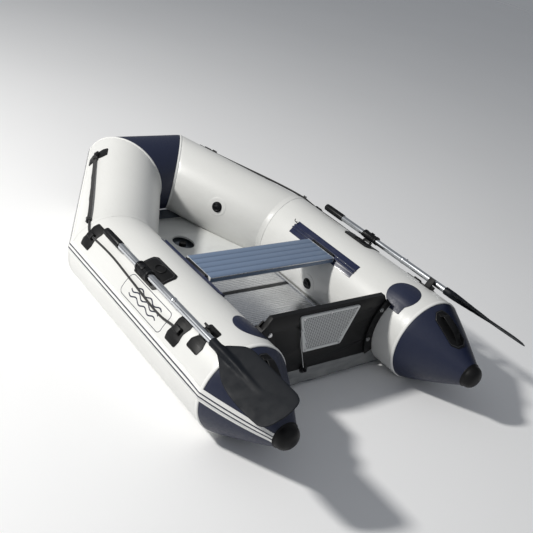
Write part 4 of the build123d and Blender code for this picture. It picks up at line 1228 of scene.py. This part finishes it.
def makeOars():
    bladeShape = bladeMesh("oarBlade")
    knurl = {"Count": 13, "Spacing": 0.0085, "Ring Radius": 0.0178, "Rib Radius": 0.0011}
    gripRibs = grown("gripRibs", ribs, knurl, plastic)
    gripRibs.transform(turned(Vector((0.052, oarLine.y, oarLine.z)), (1, 0, 0), oarOut))
    sleeveRibs = grown("sleeveRibs", ribs, {"Count": 8, "Spacing": 0.0078, "Ring Radius": 0.0208,
                                            "Rib Radius": 0.0016, "Sweep": radians(258)}, plastic)
    sleeveRibs.transform(turned(Vector((hull["lockX"] - 0.0273, oarLine.y, oarLine.z)), (1, 0, 0), oarOut)
                         @ Matrix.Rotation(radians(-129), 4, "Z"))
    collar = lathe("jointCollar", Vector((-0.4225, oarLine.y, oarLine.z)), (1, 0, 0),
                   [(-0.009, 0.0149), (-0.0088, 0.0158), (-0.0075, 0.0163), (0.0035, 0.0163), (0.0048,
                       0.0158),
                    (0.005, 0.0149)], 40)
    for sideName, sign in (("port", 1), ("starboard", -1)):
        shape = (lambda mesh, name: mesh.copy()) if sign == 1 else mirrored
        oar = sideName + "_oar"
        paint(oar + "_upper_shaft", shaftMetal)
        paint(oar + "_lower_shaft", shaftMetal)
        piece = newPiece(sideName + "OarBlade", shape(bladeShape, sideName + "OarBlade"), oar,
                         "black_plastic",
                         bladePlastic)
        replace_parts(piece, oar + "_blade")
        softened(oar + "_grip", 0.0015, plastic)
        softened(oar + "_sleeve", 0.0012, plastic)
        softened(oar + "_button", 0.0008, steel)
        softened(sideName + "_rowlock_yoke", 0.0015, plastic)
        for mesh, part in ((gripRibs, "GripRibs"), (sleeveRibs, "SleeveRibs")):
            newPiece(sideName + part, shape(mesh, sideName + part), oar, "black_plastic")
        newPiece(sideName + "JointCollar", shape(collar, sideName + "JointCollar"), oar,
                 "silver_aluminium", shaftMetal)
    paint("rowlock_trunnions", steel)
    softened("rowlock_bases", 0.0012, rubber)
    # raised border and an oval loop on each base
    place = onTube(sideRun, sideS(hull["lockX"]), 23.0)
    border = [(-0.084, -0.038), (-0.071, -0.053), (0.071, -0.053), (0.084, -0.038), (0.084, 0.038), (0.071,
        0.053),
              (-0.071, 0.053), (-0.084, 0.038)]
    line = strip("baseBorder", dense(rounded(border, 0.008), 0.010), 0.0016, place, 0.0046, closed=True)
    loop = []
    for i in range(48):
        a = 2 * pi * i / 48
        ring = []
        for k in range(12):
            b = 2 * pi * k / 12
            wide = 1 + 0.0038 * cos(b) / 0.024
            ring.append(place(0.030 * wide * cos(a), -0.026 + 0.020 * wide * sin(a),
                              0.0050 + 0.0036 * sin(b)))
        loop.append(ring)
    newPiece("rowlockBorders", bothSides(line, "rowlockBorders"), "hull", "black_rubber", mouldLine)
    newPiece("rowlockLoops", bothSides(ringMesh("rowlockLoop", loop, closed=True), "rowlockLoops"), "hull",
             "black_rubber", rubber)


makeOars()
print("oars made")


# fittings on the tubes
def valveMeshes(run, s, angle):
    # body with stepped flange; cap with a fluted rim and a finger grip
    out = run.radial(angle)
    foot = run.at(s, angle, tubeRadius)
    flange = lathe("valveFlange", foot, out, [
        (-0.012, 0.0222), (-0.003, 0.0222), (-0.0035, 0.0290), (0.0012, 0.0290), (0.0024, 0.0280), (0.0030,
            0.0262),
        (0.0030, 0.0238), (0.0022, 0.0232), (0.0022, 0.0224), (0.0030, 0.0218), (0.0030, 0.0160), (0.0022,
            0.0151),
        (-0.011, 0.0151), (-0.012, 0.0160)], 56)
    cap = lathe("valveCap", foot, out, [
        (-0.004, 0.0001), (-0.004, 0.0142), (0.0030, 0.0148), (0.0034, 0.0222), (0.0040, 0.0230), (0.0086,
            0.0230),
        (0.0098, 0.0222), (0.0103, 0.0205), (0.0103, 0.0182), (0.0092, 0.0172), (0.0092, 0.0128), (0.0100,
            0.0120),
        (0.0100, 0.0001)], 56)
    block = bmesh.new()
    bmesh.ops.create_cube(block, size=1)
    bmesh.ops.scale(block, vec=(0.033, 0.006, 0.0042), verts=block.verts)
    bmesh.ops.translate(block, vec=(0, 0, 0.0117), verts=block.verts)
    bmesh.ops.bevel(block, geom=block.edges[:], offset=0.0012, segments=2, affect="EDGES", profile=0.5)
    grip = bpy.data.meshes.new("valveGrip")
    block.to_mesh(grip)
    block.free()
    grip.transform(turned(foot, out, run.along))
    for polygon in grip.polygons:
        polygon.use_smooth = True
    return flange, joinMeshes("valveCapWhole", [cap, grip])


def makeValves():
    spots = ((sideRun, sideS(-0.1605), -98.0), (bowRun, 0.344, -75.0))
    flange, cap = valveMeshes(*spots[0])
    bowFlange, bowCap = valveMeshes(*spots[1])
    body = joinMeshes("valveBodies", [flange, mirrored(flange, "other"), mirrored(bowFlange, "bowFlange")])
    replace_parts(newPiece("valveBodies", body, "hull", "black_plastic", plastic), "valve_bodies")
    caps = (("port_side_valve_cap", "port_valve_cap", cap), ("starboard_side_valve_cap",
                                                             "starboard_valve_cap",
            mirrored(cap, "starboardCap")), ("bow_valve_cap", "bow_cap", mirrored(bowCap, "bowCap")))
    for node, bodyName, mesh in caps:
        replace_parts(newPiece(node + "Turned", mesh, bodyName, "black_plastic", plastic), node)


def makeValvePatches():
    # round reinforcement under each valve
    circle = [Vector((0.052 * cos(a), 0.052 * sin(a))) for a in (2 * pi * k / 64 for k in range(64))]
    side = patchMesh("valvePatch", onTube(sideRun, sideS(-0.1605), -98.0), circle, 0.0009, edge=0.0006)
    bow = patchMesh("valvePatch", onTube(bowRun, 0.344, -75.0), circle, 0.0009, edge=0.0006)
    whole = joinMeshes("valvePatches", [side, mirrored(side, "other"), mirrored(bow, "bow")])
    newPiece("valvePatches", whole, "hull", "tube_fabric", white)


def makeHandles():
    # hexagonal base with a pale piped line, and a raised strap grip
    handle = {"x": -0.9125, "angle": -8.0, "half": 0.096, "wide": 0.043}
    slope = atan((coneRadius(-0.86) - coneRadius(-0.96)) / 0.1)
    place = lambda u, v, rise: onCone(handle["x"] + u * cos(slope),
                                      handle["angle"] + degrees(v / coneRadius(handle["x"] + u * cos(slope))), rise)
    half, wide = handle["half"], handle["wide"]
    outline = [(-half, -0.018), (-half + 0.03, -wide), (half - 0.03, -wide), (half, -0.018), (half, 0.018),
               (half - 0.03, wide), (-half + 0.03, wide), (-half, 0.018)]
    outline = dense(rounded(outline, 0.010), 0.012)
    base = patchMesh("handleBase", place, outline, 0.0048, rim=(0.0022, 0.0014, 0.0005, 1))
    # strap: flat section lofted along an arch, its feet on the base
    legs = [(-0.080, 0.0035), (-0.066, 0.0045), (-0.057, 0.012), (-0.050, 0.022), (-0.040, 0.0285),
            (-0.020, 0.0305),
            (0, 0.0308), (0.020, 0.0305), (0.040, 0.0285), (0.050, 0.022), (0.057, 0.012), (0.066, 0.0045),
            (0.080, 0.0035)]
    rings = []
    for u, rise in evenArch(legs, 64):
        swell = 1 + 0.22 * exp(-(u / 0.045) ** 4)
        thin = 0.0042 if abs(u) < 0.05 else 0.0030
        ring = []
        for k in range(20):
            a = 2 * pi * k / 20
            v = 0.0125 * swell * abs(cos(a)) ** 0.6 * (1 if cos(a) > 0 else -1)
            lift = thin * abs(sin(a)) ** 0.6 * (1 if sin(a) > 0 else -1)
            ring.append(place(u, v, rise + lift))
        rings.append(ring)
    grip = ringMesh("handleGrip", rings)
    whole = joinMeshes("carryHandle", [base, grip])
    piece = newPiece("carryHandles", bothSides(whole, "carryHandles"), "hull", "black_rubber", rubber,
                     mouldLine)
    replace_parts(piece, "carry_handles")


def evenArch(points, count):
    path = centreline("arch", [Vector((u, rise, 0)) for u, rise in points])
    spaced, _ = evenly(path, sum((b - a).length for a, b in zip(path, path[1:])) / count)
    return [(p.x, p.y) for p in spaced]


def makeFittings():
    softened("rope_holders", 0.0016, rubber, segments=3)
    softened("oar_clips", 0.0016, rubber, segments=3)
    softened("tow_patch", 0.0014, rubber)
    paint("tow_ring", steel)
    # small strap hook at the forward end of the starboard track
    spot = Vector((0.108, -(hull["tubeY"] + 0.212 * sin(radians(-36))),
                   hull["tubeZ"] + 0.212 * cos(radians(-36))))
    route = [spot + Vector(p) for p in ((-0.012, 0, 0), (0.004, 0, 0.001), (0.012, 0.002, 0.003), (0.016,
        0.003, 0.010),
                                        (0.013, 0.002, 0.016))]
    mesh, _, _ = laidRope("trackHook", route, 0.0022, 1.0, 3, 0.002)
    newPiece("trackHook", mesh, "hull", "black_plastic", plastic)


# Emblem on each side tube: a round-cornered frame with three waves.
emblem = {"x0": -0.4475, "x1": -0.1075, "angle0": 42.0, "angle1": 69.0, "line": 0.0030, "rise": 0.00035,
          "waves": 3, "waveHigh": 0.0065, "wavePitch": 0.022}


def makeEmblems():
    middleX = (emblem["x0"] + emblem["x1"]) / 2
    middleAngle = (emblem["angle0"] + emblem["angle1"]) / 2
    place = onTube(sideRun, sideS(middleX), middleAngle)
    half = (emblem["x1"] - emblem["x0"]) / 2
    high = radians(emblem["angle1"] - emblem["angle0"]) / 2 * tubeRadius
    frameLine = dense(rounded([(-half, -high), (half, -high), (half, high), (-half, high)], 0.022, 10), 0.012)
    meshes = [strip("emblemFrame", frameLine, emblem["line"], place, emblem["rise"], closed=True)]
    for row in range(emblem["waves"]):
        v0 = (row - (emblem["waves"] - 1) / 2) * emblem["wavePitch"]
        reach = half * 0.66
        line = []
        for k in range(97):
            u = -reach + 2 * reach * k / 96
            line.append(Vector((u, v0 + emblem["waveHigh"] * sin(2 * pi * u / (2 * reach / 3)))))
        meshes.append(strip("wave", line, 0.0058, place, emblem["rise"]))
    whole = bothSides(joinMeshes("emblem", meshes), "emblems")
    newPiece("emblems", whole, "hull", "navy_fabric", stripe)


makeValves()
makeValvePatches()
makeHandles()
makeFittings()
makeEmblems()
print("fittings made")
